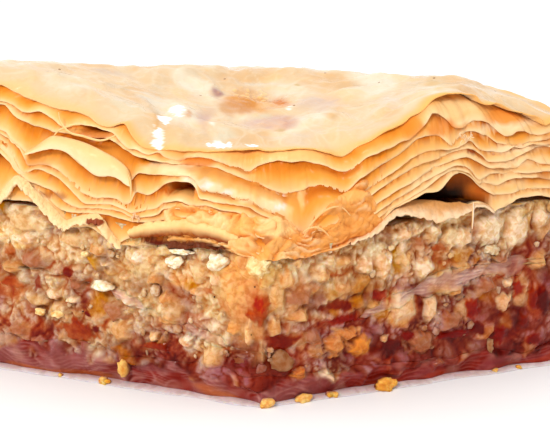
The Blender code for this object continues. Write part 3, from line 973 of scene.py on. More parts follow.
# %% Where the leaves are glued
# Along X, the leaf where the mass begins and the one where it ends, counted from the top.
GLUED_FROM = pairs("-14.5,5.8 -12,5.4 -10,5.2 -4,5.2 0,4.4 2,3.8 4,3.3 6,3.1 9.5,2.8 11.5,2.1 "
                   "14,2.0 17,3.2 21,6.0")
GLUED_TO = pairs("-14.5,9.3 -4,9.4 10,9.4 12.5,8.2 21,7.7")
FLAPS = (
    # x, height, half width, half height, raised by, all in mm, colour; sunken ones are painted dark as
    # painted shade
    (-5.2, 24.4, 1.7, 1.2, 0.5, "FFE9B0"), (-8.1, 25.0, 2.0, 0.9, 0.4, "FFE0A0"),
    (-2.2, 24.4, 1.9, 1.0, 0.3, "FBC878"), (3.4, 25.4, 2.4, 2.4, 0.0, "FFD490"),
    (0.0, 22.6, 1.3, 0.5, -0.7, "B05C18"), (-2.4, 21.9, 1.7, 1.0, 0.8, "FCD292"),
    (2.4, 21.9, 1.7, 0.8, 0.5, "F0B060"), (1.7, 23.6, 1.6, 0.9, 0.3, "FFD694"),
    (-3.9, 22.9, 1.3, 0.5, -0.4, "D88A34"), (-10.5, 25.6, 1.8, 0.7, -0.3, "E89A40"),
    (13.1, 21.7, 1.2, 0.4, -0.9, "6A2408"), (15.2, 21.4, 0.6, 0.4, -0.8, "6A2408"),
    (8.7, 25.0, 2.0, 1.0, -0.4, "E0A058"), (7.6, 22.9, 1.1, 0.6, -0.4, "C88038"),
    (16.0, 30.0, 1.6, 1.2, -0.2, "F09030"), (12.5, 27.5, 1.8, 0.8, 0.2, "FFC878"),
    (18.0, 28.0, 2.5, 0.5, 0.2, "FFCC84"), (10.5, 23.2, 1.6, 0.8, 0.2, "F4B060"),
)
FLAP_COLOURS_AND_SHADE = [(*flap, tone(code)) for *flap, code in FLAPS]
print(len(FLAPS), "flaps and holes in the glued mass")


# %% The glued mass
def rim_point(rims, index):
    """A place between the rims of two neighbouring leaves, or just below the last one."""
    upper = min(int(index), len(rims) - 2)
    first, second = rims[upper], rims[upper + 1]
    spot = first.place.lerp(second.place, index - upper)
    spot.z = mix(first.height, second.height, index - upper)
    return spot


def glued_leaves(across, up):
    """The skin over the glued leaves: across runs along X, up runs from the last leaf to the first."""
    x = mix(GLUED_FROM[0][0], GLUED_FROM[-1][0], across)
    begin, end = follow(GLUED_FROM, x) / MM, follow(GLUED_TO, x) / MM
    index = mix(end, begin - 0.7, up)
    spot = rim_point(rims_at(turn_at(x)), index)
    corner = smooth((5 - x / MM) / 3)
    bent = spot + 0.6 * MM * noise.noise_vector(spot / (2.2 * MM))
    turned = 0.8 * index + 1.6 * ripple(spot, 4.5 * MM, 90.0) + 0.7 * ripple(spot, 1.7 * MM, 91.0)
    fading = smooth(0.6 + 1.6 * ripple(spot, 3.5 * MM, 96.0))
    ridge = (0.5 + 0.5 * math.cos(math.tau * turned)) ** 2 * fading
    drawn = Vector((0.4 * bent.x, 0.4 * bent.y, 1.6 * bent.z))
    lumps = mix(billow(drawn, 3.0 * MM, 92.0), billow(bent, 3.0 * MM, 92.0), corner)
    knobs = mix(billow(drawn, 1.5 * MM, 93.0), billow(bent, 1.5 * MM, 93.0), corner)
    crumbs = billow(spot, 0.7 * MM, 94.0)
    height = 0.3 * ridge + (0.3 + 0.45 * corner) * lumps + (0.18 + 0.12 * corner) * knobs
    height += 0.16 * crumbs - 0.25 - 0.15 * corner
    # The crests are painted pale, partly for dry rims and partly as painted light; the creases are painted
    # darker as painted shade.
    light = smooth(0.75 * ridge + (0.4 + 0.3 * corner) * lumps + 0.3 * crumbs - 0.25)
    dark = smooth(0.9 - 1.2 * lumps - 1.0 * knobs - 0.5 * ridge)
    body = tone("ECA858").lerp(tone("F8B864"), corner)
    colour = body.lerp(tone("F6CC98").lerp(tone("FFE0A6"), corner), light)
    colour = colour.lerp(tone("C8762C").lerp(tone("D47820"), corner), 0.7 * dark)
    # Flaps and holes: the sunken ones carry painted shade.
    for centre, level, wide, high, raised, shade in FLAP_COLOURS_AND_SHADE:
        along, above = (x / MM - centre) / wide, (spot.z / MM - level) / high
        off = math.hypot(along, above)
        if off < 2:
            cover = smooth((1.2 - off - 0.4 * ripple(spot, 1.2 * MM, centre)) * 2.2)
            height += raised * cover
            colour = colour.lerp(shade.lerp(colour, 0.3 * (1 - light)), 0.85 * cover)
    # Painted shade: below the rolled edge, at the left, the skin is painted dark and sunk.
    gap = smooth((index - 8.4) / 0.3) * smooth((-3.6 - x / MM) / 1.5)
    colour, height = colour.lerp(tone("601606"), 0.95 * gap), height - 0.6 * gap
    cover = smooth((index - begin) / 0.7 + 0.5 + 0.7 * ripple(spot, 1.3 * MM, 95.0))
    cover *= smooth((x - GLUED_FROM[0][0]) / (2.5 * MM))
    cover *= smooth((GLUED_FROM[-1][0] - x) / (7 * MM) + 0.4 * ripple(spot, 2.5 * MM, 97.0) - 0.1)
    out = (outward(turn_at(x)) + Vector((0, 0, 0.6))).normalized()
    return spot + out * mix(-1.1, 0.2 + height, cover) * MM, colour, {}


crust_piece("glued_leaves", shaped_grid(500, 92, glued_leaves), LEAF_THICK)

# %% [markdown]
# ## Loose bits of leaf
# Over the fanned leaves lie shreds that broke off: a pale pointed flake that curled over the edge,
# a thick fuzzy fold at the left, a rolled edge over the nuts, a torn sheet stuck to the filling,
# thin curled strands and frayed tufts. Each is a patch between an upper and a lower course, or a
# tube along a course.


# %% Patches
def patch(name, high, low, behind, before, belly, thickness, upper, lower, ragged=0.0, size=90, rows=14,
          hole=None):
    """A small piece of leaf over the front, between two courses and two insets, in mm.

    Behind and before are the insets of its upper and lower edge, and belly is how far it swells
    out between them. Upper and lower are its colours. A hole is given as x, height and half widths;
    it is not cut but painted dark, as painted shade.
    """
    high, low = pairs(high), pairs(low)
    start, end = max(high[0][0], low[0][0]), min(high[-1][0], low[-1][0])

    def place(across, up):
        x = mix(start, end, across)
        spot = front_place(x, 0.0)
        spot.z = mix(follow(low, x), follow(high, x), up)
        swelling = belly * math.sin(math.pi * up)
        inset = mix(before, behind, up) - swelling + 0.15 * ripple(spot, 2 * MM, belly)
        rough = ragged * (billow(spot, 0.9 * MM, 6.0) + 0.5 * billow(spot, 0.4 * MM, 7.0))
        fringe = ragged * (1 - up) * (ripple(spot, 0.8 * MM, 3.0) + 0.6 * ripple(spot, 0.4 * MM, 4.0))
        placed = front_place(x, (inset - 0.5 * rough) * MM)
        placed.z = spot.z + fringe * MM
        shade = smooth(1.3 * up - 0.1 + 0.5 * (rough - 0.3 * ragged))
        colour = tone(lower).lerp(tone(upper), shade)
        # Painted shade: a hole is a dark spot painted on the patch.
        if hole:
            off = math.hypot((spot.x / MM - hole[0]) / hole[2], (spot.z / MM - hole[1]) / hole[3])
            colour = colour.lerp(tone("8A2C08"), 0.95 * smooth((1.2 - off) * 5))
        return placed, colour, {}

    crust_piece(name, shaped_grid(size, rows, place), thickness)


# %% [markdown]
# A strand is a tube: a grid rolled round a line that may turn any way. It is painted pale above
# and darker below, as painted light and shade. A tuft is a bunch of very short tubes.


# %% Strands and tufts
def tube(centre, wide, flat, over, under, rough=0.0, columns=40, rows=8):
    """A closed tube along a line: thin at its ends, painted light above and painted shade below."""
    def place(along, round_it):
        spot = centre(along)
        ahead = centre(min(1.0, along + 0.01)) - centre(max(0.0, along - 0.01))
        side = Vector((-ahead.z, 0.0, ahead.x)).normalized()
        angle = math.tau * round_it
        way = side * math.cos(angle) + Vector((0, -flat * math.sin(angle), 0))
        thin = wide * MM * math.sin(math.pi * min(0.98, max(0.02, along))) ** 0.3
        where = spot + way * thin
        thin *= 1 + rough * (billow(where, 1.4 * MM, 8.0) + 0.5 * billow(where, 0.6 * MM, 9.0) - 0.5)
        # Painted light and shade: the over colour on top turns into the under colour below.
        return spot + way * thin, tone(under).lerp(tone(over), smooth(0.6 + 0.7 * math.cos(angle))), {}

    return shaped_grid(columns, rows, place)


def along_course(text, inset):
    """A function that runs along a course that may turn any way, over the front."""
    points = pairs(text)
    across_points = [(float(n), point[0]) for n, point in enumerate(points)]
    up_points = [(float(n), point[1]) for n, point in enumerate(points)]

    def centre(share):
        step = share * (len(points) - 1)
        spot = front_place(follow(across_points, step), inset * MM)
        spot.z = follow(up_points, step)
        return spot

    return centre


# Over is the painted light on top of a strand, and under the painted shade below it.
def strand(name, text, inset, wide, over="F8E0A8", under="F0C880", flat=0.5, rough=0.0,
           columns=40, rows=8):
    """A tube along a course, so many mm behind the cut and so many wide to each side."""
    crust_piece(name, tube(along_course(text, inset), wide, flat, over, under, rough, columns, rows))


def tuft(name, x, height, inset, count, dice):
    """A frayed place: short fine fibres that stick out all ways."""
    whole = bmesh.new()
    whole.verts.layers.float_color.new("tint")
    for _ in range(count):
        foot = front_place((x + dice.uniform(-0.6, 0.6)) * MM, inset * MM)
        foot.z = (height + dice.uniform(-0.3, 0.3)) * MM
        reach = Vector((dice.gauss(0, 0.3), dice.uniform(-0.5, 0), dice.gauss(0.1, 0.3))) * MM
        bow = Vector((dice.gauss(0, 0.1), 0, dice.gauss(0, 0.1))) * MM
        add_mesh(whole, tube(lambda s: foot + reach * s + bow * math.sin(math.pi * s), 0.06, 1.0,
                             "FFF4DC", "F8E0B0", columns=8, rows=5))
    crust_piece(name, whole)


# %% Shreds over the front
patch("pale_flake", "-32.5,32 -30.9,32.9 -29.4,34 -28.4,34.5 -26.5,34.4 -24.6,34.1 -22.9,33.6 -21.2,32.9 "
      "-19.5,32.1 -18.2,31.1 -17.7,30.2 -17.5,29",
      "-32.5,31.8 -31,32.2 -29.5,32.7 -28.5,32.9 -26.6,32.7 -24.9,31.6 -23.7,30.6 -22.4,29.8 -21.3,29.7 "
      "-20.2,29.9 -19,29.5 -18.2,28.9 -17.5,28.7", 0.5, -0.5, 0.4, 0.14, "F6DCA0", "FFECC4", 0.05, 150)
patch("left_fold", "-38,24.6 -36.5,25.8 -35.1,27.4 -33.9,28.5 -32.5,28 -31.4,26.9 -29.8,25.5 -28,23.9 "
      "-26.9,22.9 -25.6,23.4 -23.7,24 -22.1,24.2 -21.4,23.4 -20.9,22.5 -20.1,21.5 -19.2,20.6",
      "-38,23.4 -36.6,24.5 -35.1,26.1 -33.9,27.4 -32.9,26.7 -31.7,25.7 -30.2,24.2 -28.4,22.5 -27.2,21.7 "
      "-25.9,22.5 -24,23 -22.4,23 -21.7,22 -20.9,21.1 -20.1,20.5 -19.2,20", 0.2, -0.6, 0.2, 0.4,
      "FBE4AC", "FFECC0", 0.4, 300, 24, (-22.7, 23.3, 1.1, 0.35))
strand("rolled_edge", "-18,22 -17,22.4 -15.7,22.8 -12.9,23.4 -10.2,23.8 -7.5,23.7 -5.7,23.4 -4,22.9 "
       "-3,22.6", -0.2, 1.05, "FFE2A2", "944410", 0.7, 0.25, 200, 40)
patch("torn_leaf", "11.8,21.6 14,22.4 15.9,24.4 17.9,25.6 20.6,26 23.4,25.7 25.5,25.2 27.2,25.1 29.5,25 "
      "31.2,24.5 32.2,23.8",
      "11.7,21.5 13.8,22.1 15.8,23 17,24.1 17.8,24.7 20,24.5 22.8,23.7 24,23.2 25.3,23.6 27,23.7 "
      "29.3,24.8 30.9,24.5 31.9,23.8", 1.6, -0.7, 0.1, 0.25, "E8B070", "FBE9C8", 0.3, 200, 20)
strand("curled_strand_1", "-27.4,38 -27.2,36.9 -26.8,36.2 -25.8,35.3 -24.1,35 -22.7,34.7 -21.6,34.6 "
       "-20.5,34.9 -19.4,35.5", -0.4, 0.16)
strand("curled_strand_2", "-28.2,34.7 -27.4,35.5 -26.4,36 -25.4,36.4 -24.4,36.5", -0.3, 0.14)
strand("flake_tip", "-17.9,30.4 -17.6,29.7 -17.5,28.9 -17.5,28 -17.6,26.9", -0.55, 0.15)
strand("fan_rim_1", "5.5,22.9 6.2,24.1 7.1,25.2 8.3,26.1 9.6,26.5 10.7,26.2 11.7,25.1", 0.3, 0.14, "FCD89C")
strand("fan_rim_2", "5.4,23.6 6.1,24 6.9,24.1 7.7,23.8 8.5,23.1 9.1,22.2", 0.0, 0.13, "FCD89C")
strand("white_sliver", "28.7,25.6 28.75,24 28.7,21.8", -0.9, 0.14, "FFFBF0")
tuft("frayed_tuft_1", 27.7, 34.4, 0.2, 26, random.Random(3))
tuft("frayed_tuft_2", -17.0, 24.6, 0.0, 22, random.Random(5))

# %% [markdown]
# ## A mass of chopped nuts
# The filling is a heap of chopped walnuts glued by syrup and cut through by the knife. It is one
# gooey mass: crumbly lumps run into each other, angular nuts stick out, and syrup fills the
# hollows, more of it low down. So a band is wrapped round the four cut sides and pushed in and out
# the same way: round bumps of four sizes make the crumbs, flat-topped cells make the cut nuts, and
# whatever lies below the syrup's level is filled up with smooth, dark, wet syrup. The nuts and
# stains that show at the front have their own places.

# %% Stains and listed nuts
ZONES = (
    # x, height, half width, half height in mm, colour
    "-34,23.1,4.2,1.4,C8965A -35,19.7,3,1.7,F0CE8C -28,18.7,4.2,1.7,D8B080 -15,18.5,2.6,1.7,EBCB94",
    "-10,16.8,2.9,2.5,E0A460 -3,17.4,2.3,5.5,EA9A40 -1,14.9,1.9,2.2,B04A0C -36,12,2.2,1.5,BC6A28",
    "-28,15.1,1.5,1,AA5828 -31,11,1.8,1.3,94582E -34,7.4,3.1,1.5,BC8A70 -26,8.5,4,1.7,A06430",
    "-24,7.5,1.2,1,6A2E28 -21,9.8,3.3,2.2,C8986C -12,13.8,3.5,1.4,B08068 -9,10.3,4.1,1.4,BC8064",
    "-15,7.2,2.4,1.3,7A361C -3,8.4,1.8,1.4,8A443C 2,9.3,1.8,2.5,A8420E 4,14.5,3.5,3,D69C6C",
    "9,13,3.5,1.4,92503E 12,11,3,0.7,942410 6,6.9,2.4,1.4,AA5C50 15,13.1,2.7,2.3,A86A2C",
    "15,13.2,1.3,1,7E260C 19,11.2,2.1,2.3,D8A25A 19,6,3.3,1.4,78302C 23,17.5,3.9,2,BC743A",
    "28,12.1,2.7,2.3,80342C 30,10.4,1.4,1.6,9A2A0C 33,10.8,3.1,2.6,96605A 36,14.5,3.7,2,BC8A6C",
    "39,10.1,1.4,2.7,B4581C 34,5.4,2.8,1.5,943210 26,5,3.4,1.8,96584A 16,19.8,4.1,1.5,BC8250",
    "9,18.6,4.1,1.7,D6A26C -28,4.1,3.1,0.9,8E4A48 -18,3.4,4,1.2,7C3A3C",
    "21,22.4,4.5,1.1,C0803C -1.3,14.3,1.8,2,C05014",
)
PLACED = (
    # x, height, half width, half height in mm, look
    "-33.1,19.6,1.7,1.1,C1 -33.4,21.8,2.9,1.7,T -26.4,20.3,2.1,1.3,T -22.8,19.3,1.5,1.1,T",
    "-27.8,22.7,1.3,0.8,C1 -24.4,18.4,0.7,0.4,C0 -21.7,17.1,0.7,0.4,C1 -22.3,14.1,1.8,0.7,W",
    "-19.1,15.5,0.7,0.4,C1 -29.6,12,1.2,0.9,C1 -26.7,11.5,0.9,0.6,C1 -31.3,9.2,0.8,0.6,C0",
    "-28.9,9.2,1.1,0.6,C0 -27.4,15.4,0.8,0.9,H -32,13,0.8,1,H -35.9,12.8,1.4,1,A",
    "-36.2,17.5,0.9,1.2,A -29.9,23.3,2.4,0.7,A -26.6,7.1,3.4,1.5,A -24.6,9.7,0.5,0.4,H",
    "-23.6,7.5,0.6,0.6,H -20.5,10.7,1.8,1.4,G -19.8,7.9,1.8,1.7,T -32.4,16.4,1.8,1.2,G",
    "-35.5,15.2,1.5,0.9,T -25.9,13.9,1.2,1,G -35.2,6.1,1.9,1.3,G -32.2,4.7,1.4,0.9,G",
    "-19.4,2.7,0.8,1.3,Y -10.8,20.3,1.6,0.4,W -11.9,18.7,1.3,0.8,W -17.2,18.5,1.2,1,C1",
    "-8.5,17.7,1.5,1.5,T -5.8,19.3,1.7,1.4,W -6.5,16.8,0.9,1,C1 -9.3,14.7,0.7,0.6,C1",
    "-7.6,15.1,1.2,0.7,A -0.7,19.2,1.7,1.5,C0 -0.4,14.3,1.2,1.5,R -0.4,13.5,1.9,2.7,A",
    "-2,9.8,0.6,1.8,C1 -10.7,7.6,1,0.9,C1 -15,7.7,0.8,0.7,C1 -15.2,6.4,1.7,0.7,A -7.1,6,1.5,1.6,T",
    "-15.1,15.9,1.3,1.1,T -18.7,12.7,1.3,1,C1 -13.1,13.4,1.3,1.1,T -15.1,18.5,0.9,0.8,T",
    "-20.7,20.2,1,0.8,T -3.9,14.8,1.3,1.7,K -2.8,19.9,1.3,1.4,K -4,10.4,1,1.4,O -13.1,10.5,1.2,1,T",
    "-22.7,24.2,1.2,0.8,T -15,22.2,1.5,0.8,A -4.8,22,1.1,0.7,T 3.3,17.4,1.3,1.6,K",
    "2.1,15.3,1.2,2.1,T 8.5,17,1,1,T 5,19.6,1,0.8,T 11.1,18.9,1.2,0.8,T 1.7,11,0.9,1.5,T",
    "2.9,8.6,2.2,1.4,H 10,12.6,2.2,1,H 10.9,10.6,2.5,0.6,R 16.2,13.4,1.5,1,R 15.6,11.8,1.3,1.1,T",
    "14.1,17.9,1,1.3,C1 16.7,17.6,1,2.5,C1 19.5,11.6,1.8,2.4,C1 10.2,7.4,1.8,2,K",
    "13.6,6.8,1.5,1.6,Y2 11.9,8.7,1.8,1,K 16.9,7.3,0.6,0.6,C1 18.1,5.9,1.8,1.3,H 8.9,2.6,1.2,1.3,C1",
    "5,14.4,1.5,1.1,G 7.1,8.5,1.2,1.3,G 5.1,11.9,1.3,1.1,T 11.1,15,1.2,0.8,T 19.4,18.2,1.2,1.1,T",
    "5.1,3.9,1.2,0.9,O 19.3,21.8,1.2,1.1,C1 23.8,21.8,0.9,0.7,C1 27.9,20.3,1.6,1.7,C1",
    "31.8,21.1,2.1,2.6,C1 35.8,20.7,1.8,2.6,C1 39.4,21.9,1.2,1.3,C1 22.2,16.8,1.5,1.6,C1",
    "21.4,20.1,1.2,1,A 25,19.3,0.9,0.8,A 34.2,10.2,1.1,1.3,C1 34.7,12.8,0.8,0.6,C1",
    "29.7,10.1,1.1,1.5,R 36.4,11.9,0.8,1.5,R 33.9,5.4,0.9,1.3,R 26.9,6.4,2.3,0.6,R",
    "23.4,10.6,1.2,1.9,C1 26.4,8.5,1.8,1.5,G 22.1,5.7,2.1,1.7,G 37.3,7,0.9,1.2,A",
    "38.6,10.3,0.8,1.9,A 31.4,13.2,1.5,1.2,G 26.7,12.8,1.4,1,T 39.2,15.7,1.4,1.2,T",
    "40.3,9.9,1.1,1.8,H 30.6,6.7,1.2,1,H 20.3,7,0.9,0.7,R 39,4.1,1.4,0.9,R 28,15.8,1.2,0.9,T",
    "33.9,16.3,1.5,1,G 24.8,2.4,1.2,0.7,G",
)
LOOKS = {"C0": "FFE6AC", "C1": "F4EAD4", "W": "FFFBE2", "T": "E0C090", "Y": "EABC6C", "Y2": "EEB858",
         "G": "B48872", "K": "E2B880", "O": "DEA45C", "A": "B8641C", "R": "BC2204", "H": "8C1204"}
LOOSE = ("C0", "W", "Y")        # these stand out as pieces of their own
HOLLOW = {"A": -0.5, "R": -0.7, "H": -0.9}      # pits full of syrup, and their depth in mm
ZONE_STAINS = [(*place, tone(code)) for *place, code in entries(ZONES)]
SHADES = {look: tone(code) for look, code in LOOKS.items()}
PLACED_NUTS = list(entries(PLACED))
print(len(ZONE_STAINS), "stains,", len(PLACED_NUTS), "nuts and hollows with a place")

# %% [markdown]
# Most of the listed nuts are part of the mass. Each is cut flat on six sides in random directions
# and leans a little. They are sorted by millimetre along X, so that only those nearby are asked.

# %% Nuts sunk in the mass
dice = random.Random(7)
SUNK_NUTS = {}
for x, z, wide, high, look in PLACED_NUTS:
    if look not in LOOSE:
        turns = [n + dice.uniform(-0.35, 0.35) for n in range(6)]
        sides = [(math.cos(turn) / far, math.sin(turn) / far)
                 for turn, far in ((turn, dice.uniform(0.75, 1.05)) for turn in turns)]
        nut = (x, z, wide, high, look, (dice.uniform(-0.3, 0.3), dice.uniform(-0.3, 0.3)), sides)
        for column in range(math.floor(x - 1.5 * wide), math.ceil(x + 1.5 * wide) + 1):
            SUNK_NUTS.setdefault(column, []).append(nut)


# %% [markdown]
# ## Colour and syrup in the filling
# Syrup sank, so the filling is darker and redder low down, and more so to the right. Its colour is
# tan, steeped in red where syrup stands, and stained where the list says so.


# %% Chance, cells and colour
def chance(spot, salt=0.0):
    """A steady random share for a place, the same every time."""
    turned = math.sin(spot.x * 12.9898 + spot.y * 78.233 + spot.z * 37.7197 + salt * 53.1) * 43758.5453
    return turned - math.floor(turned)


def cell(spot, size, warp, seed=0.0):
    """Which cell a place falls in, and how far it is from the joint between cells."""
    bent = spot / size + warp * noise.noise_vector(spot / size * 0.8 + Vector((seed, seed, seed)))
    distances, centres = noise.voronoi(bent + Vector((seed, 2 * seed, 0)))
    return centres[0], distances[1] - distances[0]


def soaked(spot, height_share):
    """How much dark syrup a place in the filling holds: more low down and towards +X."""
    side = smooth((spot.x / half_long + 0.35) / 0.6)
    return min(1.0, max(0.0, 0.62 - 0.95 * height_share + 0.5 * side * (1 - 0.8 * height_share)
                        + 0.6 * ripple(spot, 6 * MM, 3.0)))


def stained(colour, spot, strength):
    """Lays the stains of the front over a colour."""
    if spot.y < middle_y:
        for x, z, wide, high, stain in ZONE_STAINS:
            across, up = (spot.x / MM - x) / wide, (spot.z / MM - z) / high
            off = across * across + up * up
            if off < 2.2:
                near = math.sqrt(off) + 0.3 * ripple(spot, 1.7 * MM, x)
                colour = colour.lerp(stain, strength * smooth((1.3 - near) * 1.8))
    return colour


def filling_colour(spot, syrup):
    """The colour of the mass at a place, before crumbs and hollows vary it."""
    colour = NUT_TAN.lerp(NUT_GREY, smooth(0.5 + ripple(spot, 5 * MM, 41.0)))
    wine = MAUVE.lerp(PLUM, smooth(0.5 + 1.5 * ripple(spot, 4 * MM, 43.0)))
    colour = colour.lerp(wine, smooth(syrup * 1.2))
    return stained(colour, spot, 0.85)


# %% [markdown]
# ## The relief of the cut
# Lumps, knobs, crumbs and grains are round bumps of four sizes. Flat-topped cells are nuts that the
# knife cut. The listed nuts and hollows come next, and last the syrup: whatever lies below its
# level is filled up. Relief and colour come from the same numbers, so crests are pale and creases
# dark just where they are.


# %% Lumps, crumbs and hollows
def sunk_nut(spot):
    """The placed nut or pit at a place: its look, cover, height in mm and roughness."""
    found = ("T", 0.0, 0.0, 1.0)
    if spot.y > middle_y:
        return found
    ragged = 0.45 * ripple(spot, 1.3 * MM, 51.0) + 0.3 * ripple(spot, 0.55 * MM, 52.0)
    for x, z, wide, high, look, lean, sides in SUNK_NUTS.get(round(spot.x / MM), ()):
        across, up = (spot.x / MM - x) / wide, (spot.z / MM - z) / high
        off = max(0.0, *(across * c + up * s for c, s in sides))
        smoother = 0.35 if min(wide, high) > 1.1 and look in ("C1", "T") else 1.0
        cover = smooth((1.25 - off - ragged * smoother) / 0.7)
        if cover > found[1]:
            facet = min(0.6, 1.15 - off) * min(1.3, 0.5 * (wide + high))
            stands = HOLLOW.get(look, 0.05 + facet + lean[0] * across + lean[1] * up)
            found = (look, cover, stands, smoother)
    return found


def glazed(spot):
    """1 on the pressed front edge, where the syrup ran down as a smooth amber glaze."""
    if spot.y > middle_y:
        return 0.0
    across, up = (spot.x / MM + 2.2) / 3.4, (spot.z / MM - 14.5) / 5.5
    return smooth(1.6 - math.hypot(across, up) + 0.6 * ripple(spot, 2.5 * MM, 66.0))


def nut_face(spot, height_share):
    """Relief in mm, colour and wetness of the filling at a place on the cut."""
    syrup, glaze = soaked(spot, height_share), glazed(spot)
    dry = (0.35 + 0.65 * smooth(0.6 + 1.5 * ripple(spot, 6 * MM, 64.0))) * (1 - 0.7 * glaze)
    bent = spot + 0.7 * MM * noise.noise_vector(spot / (2.4 * MM))
    lumps, knobs = billow(bent, 3.6 * MM, 1.0), billow(bent, 1.7 * MM, 2.0)
    crumbs, grains = billow(bent, 0.85 * MM, 3.0), billow(spot, 0.42 * MM, 4.0)
    height = 0.8 * lumps + 0.45 * knobs + dry * (0.30 * crumbs + 0.13 * grains) - 0.9
    colour = filling_colour(spot, syrup)
    crest = smooth(0.9 * knobs + dry * (0.9 * crumbs + 0.4 * grains) - 0.55)
    colour = colour.lerp(NUT_CREAM, crest * max(0.0, 0.5 - 0.5 * syrup - 0.3 * glaze))
    # The creases are steeped darker: partly syrup in them and partly painted shade.
    crease = smooth(1.0 - 1.6 * knobs - 1.1 * crumbs) + 0.8 * smooth(0.6 - 1.9 * lumps)
    colour = steeped(colour, crease * (0.38 + 0.8 * syrup))
    centre, joint = cell(spot, 3.1 * MM, 0.35, 5.0)
    if chance(centre, 5) > 0.55 + 0.2 * syrup + 0.3 * glaze:
        cut = smooth(joint / 0.35)
        flat = 0.6 * chance(centre, 7) + 0.12 * knobs + 0.07 * crumbs + 0.03 * grains
        height = mix(height, flat - 0.1, cut)
        flesh = NUT_CREAM.lerp(NUT_TAN, 1.3 * chance(centre, 6) + 0.35 * (1 - crest))
        colour = colour.lerp(steeped(flesh, 0.6 * syrup), cut * (0.85 - 0.4 * syrup))
    look, cover, stands, plain = sunk_nut(spot)
    height = mix(height, stands + plain * (0.14 * knobs + 0.08 * crumbs + 0.04 * grains), cover)
    wet = 0.25 + 0.4 * syrup
    if look in HOLLOW:
        colour = colour.lerp(SHADES[look], 0.7 * cover)
        wet += cover
    else:
        flesh = steeped(SHADES[look], 0.25 * plain * (1 - crest) + 0.35 * syrup)
        colour = colour.lerp(flesh, 0.92 * cover)
        cover *= -1
    level = -0.85 + 1.25 * syrup + 0.8 * glaze + 0.35 * ripple(spot, 4 * MM, 61.0) + 0.5 * cover
    depth = level - height
    if depth > 0:
        height = level - 0.25 * depth
        colour = steeped(colour, depth * (1.1 + 1.1 * syrup - 1.0 * glaze))
        wet += 2.5 * depth
    colour = colour.lerp(tone("C04E08"), 0.7 * glaze * smooth(crease))
    colour = colour.lerp(tone("F2C27C"), 0.45 * glaze * (1 - (cover if look in HOLLOW else 0.0)))
    return height, colour, smooth(wet)


# %% [markdown]
# ## Wrapping the mass round the sides
# A band follows the cut all the way round, and a few more rows close it below and above, so that
# every layer is a closed body. Between the nuts the middle sheets show only in some places.


# %% A band round the cut sides
def side_band(under, over, face, columns, rows, caps=3):
    """A closed layer whose cut sides carry a relief: rows run from below, up the side, to the top.

    Under and over give the layer's levels, and face its relief, colour and wetness. The caps are
    the rows that close it below and above.
    """
    total = rows + 2 * caps

    def place(turn, share):
        row = round(share * total)
        edge, out = outline(turn), outward(turn)
        up = min(1.0, max(0.0, (row - caps) / rows))
        low, high = under(edge), over(edge)
        spot = Vector((edge.x, edge.y, low + (high - low) * up))
        depth, colour, wet = face(spot, up)
        reach = 1.0
        if row < caps:
            reach = row / caps
        elif row > caps + rows:
            reach = (total - row) / caps
        rounding = 0.15 * (abs(2 * up - 1) ** 6)
        spot += out * (depth - 0.7 - rounding) * MM
        if reach < 1.0:
            spot = Vector((spot.x * reach, middle_y + (spot.y - middle_y) * reach, 0.0))
            level = under if row < caps else over
            spot.z = level(spot)
        return spot, colour, {"wet": wet}

    return round_grid(columns, total, place, ("wet",))


# %% Levels between the layers
SHEETS_SHOW = ((-22, -15.5), (-11.5, -4.5), (13, 38))    # mm along X where the middle sheets show


def sheets_hidden(spot):
    """1 where the nuts close over the middle sheets, 0 where the sheets show."""
    if spot.y > middle_y:
        return smooth(0.5 + 2 * ripple(spot, 10 * MM, 60.0))
    x = spot.x / MM
    shown = max(smooth((x - start) / 1.5) * smooth((end - x) / 1.5) for start, end in SHEETS_SHOW)
    return 1 - shown * smooth(1.0 + 1.5 * ripple(spot, 4 * MM, 62.0))


def over_sheets(spot):
    """Where the upper nuts meet the middle sheets."""
    wider = 0.7 * smooth((spot.x / MM - 16) / 8)
    return sheets_level(spot) - (0.1 - wider + 0.9 * sheets_hidden(spot)) * MM


def under_sheets(spot):
    """Where the lower nuts meet the middle sheets."""
    wider = 0.9 * smooth((spot.x / MM - 16) / 8)
    return sheets_level(spot) - (1.7 + wider - (0.9 + wider) * sheets_hidden(spot)) * MM


def wavy_base(spot):
    """The top of the soaked sheets, which wells up between the nuts here and there."""
    return base_level(spot) + (1.1 * ripple(spot, 5 * MM, 70.0) + 0.4 * ripple(spot, 2 * MM, 71.0)) * MM


def crust_foot(spot):
    """The top of the filling, just inside the crust."""
    return foot_level(spot) + 0.2 * MM


def upper_nuts(spot, up):
    """The cut of the upper filling, the drier half."""
    return nut_face(spot, 0.45 + 0.55 * up)


def lower_nuts(spot, up):
    """The cut of the lower filling, the soaked half."""
    return nut_face(spot, 0.05 + 0.4 * up)


# %% [markdown]
# ## Nut material
# Nuts soaked in syrup let light in, so colours glow a little. Dry crumbs are dull; where syrup
# stands they carry a wet coat. The painted colour is broken up by a fine mottle, as the flesh of a
# walnut is never even, and by a few dark specks of skin.


# %% Nut material
def wetness(tree):
    """How wet each place is, worked out together with its colour."""
    return node(tree, "ShaderNodeAttribute", attribute_name="wet").outputs["Fac"]


RED_SHINE = (1.0, 0.4, 0.2, 1.0)      # what shines on the syrup is tinted by it


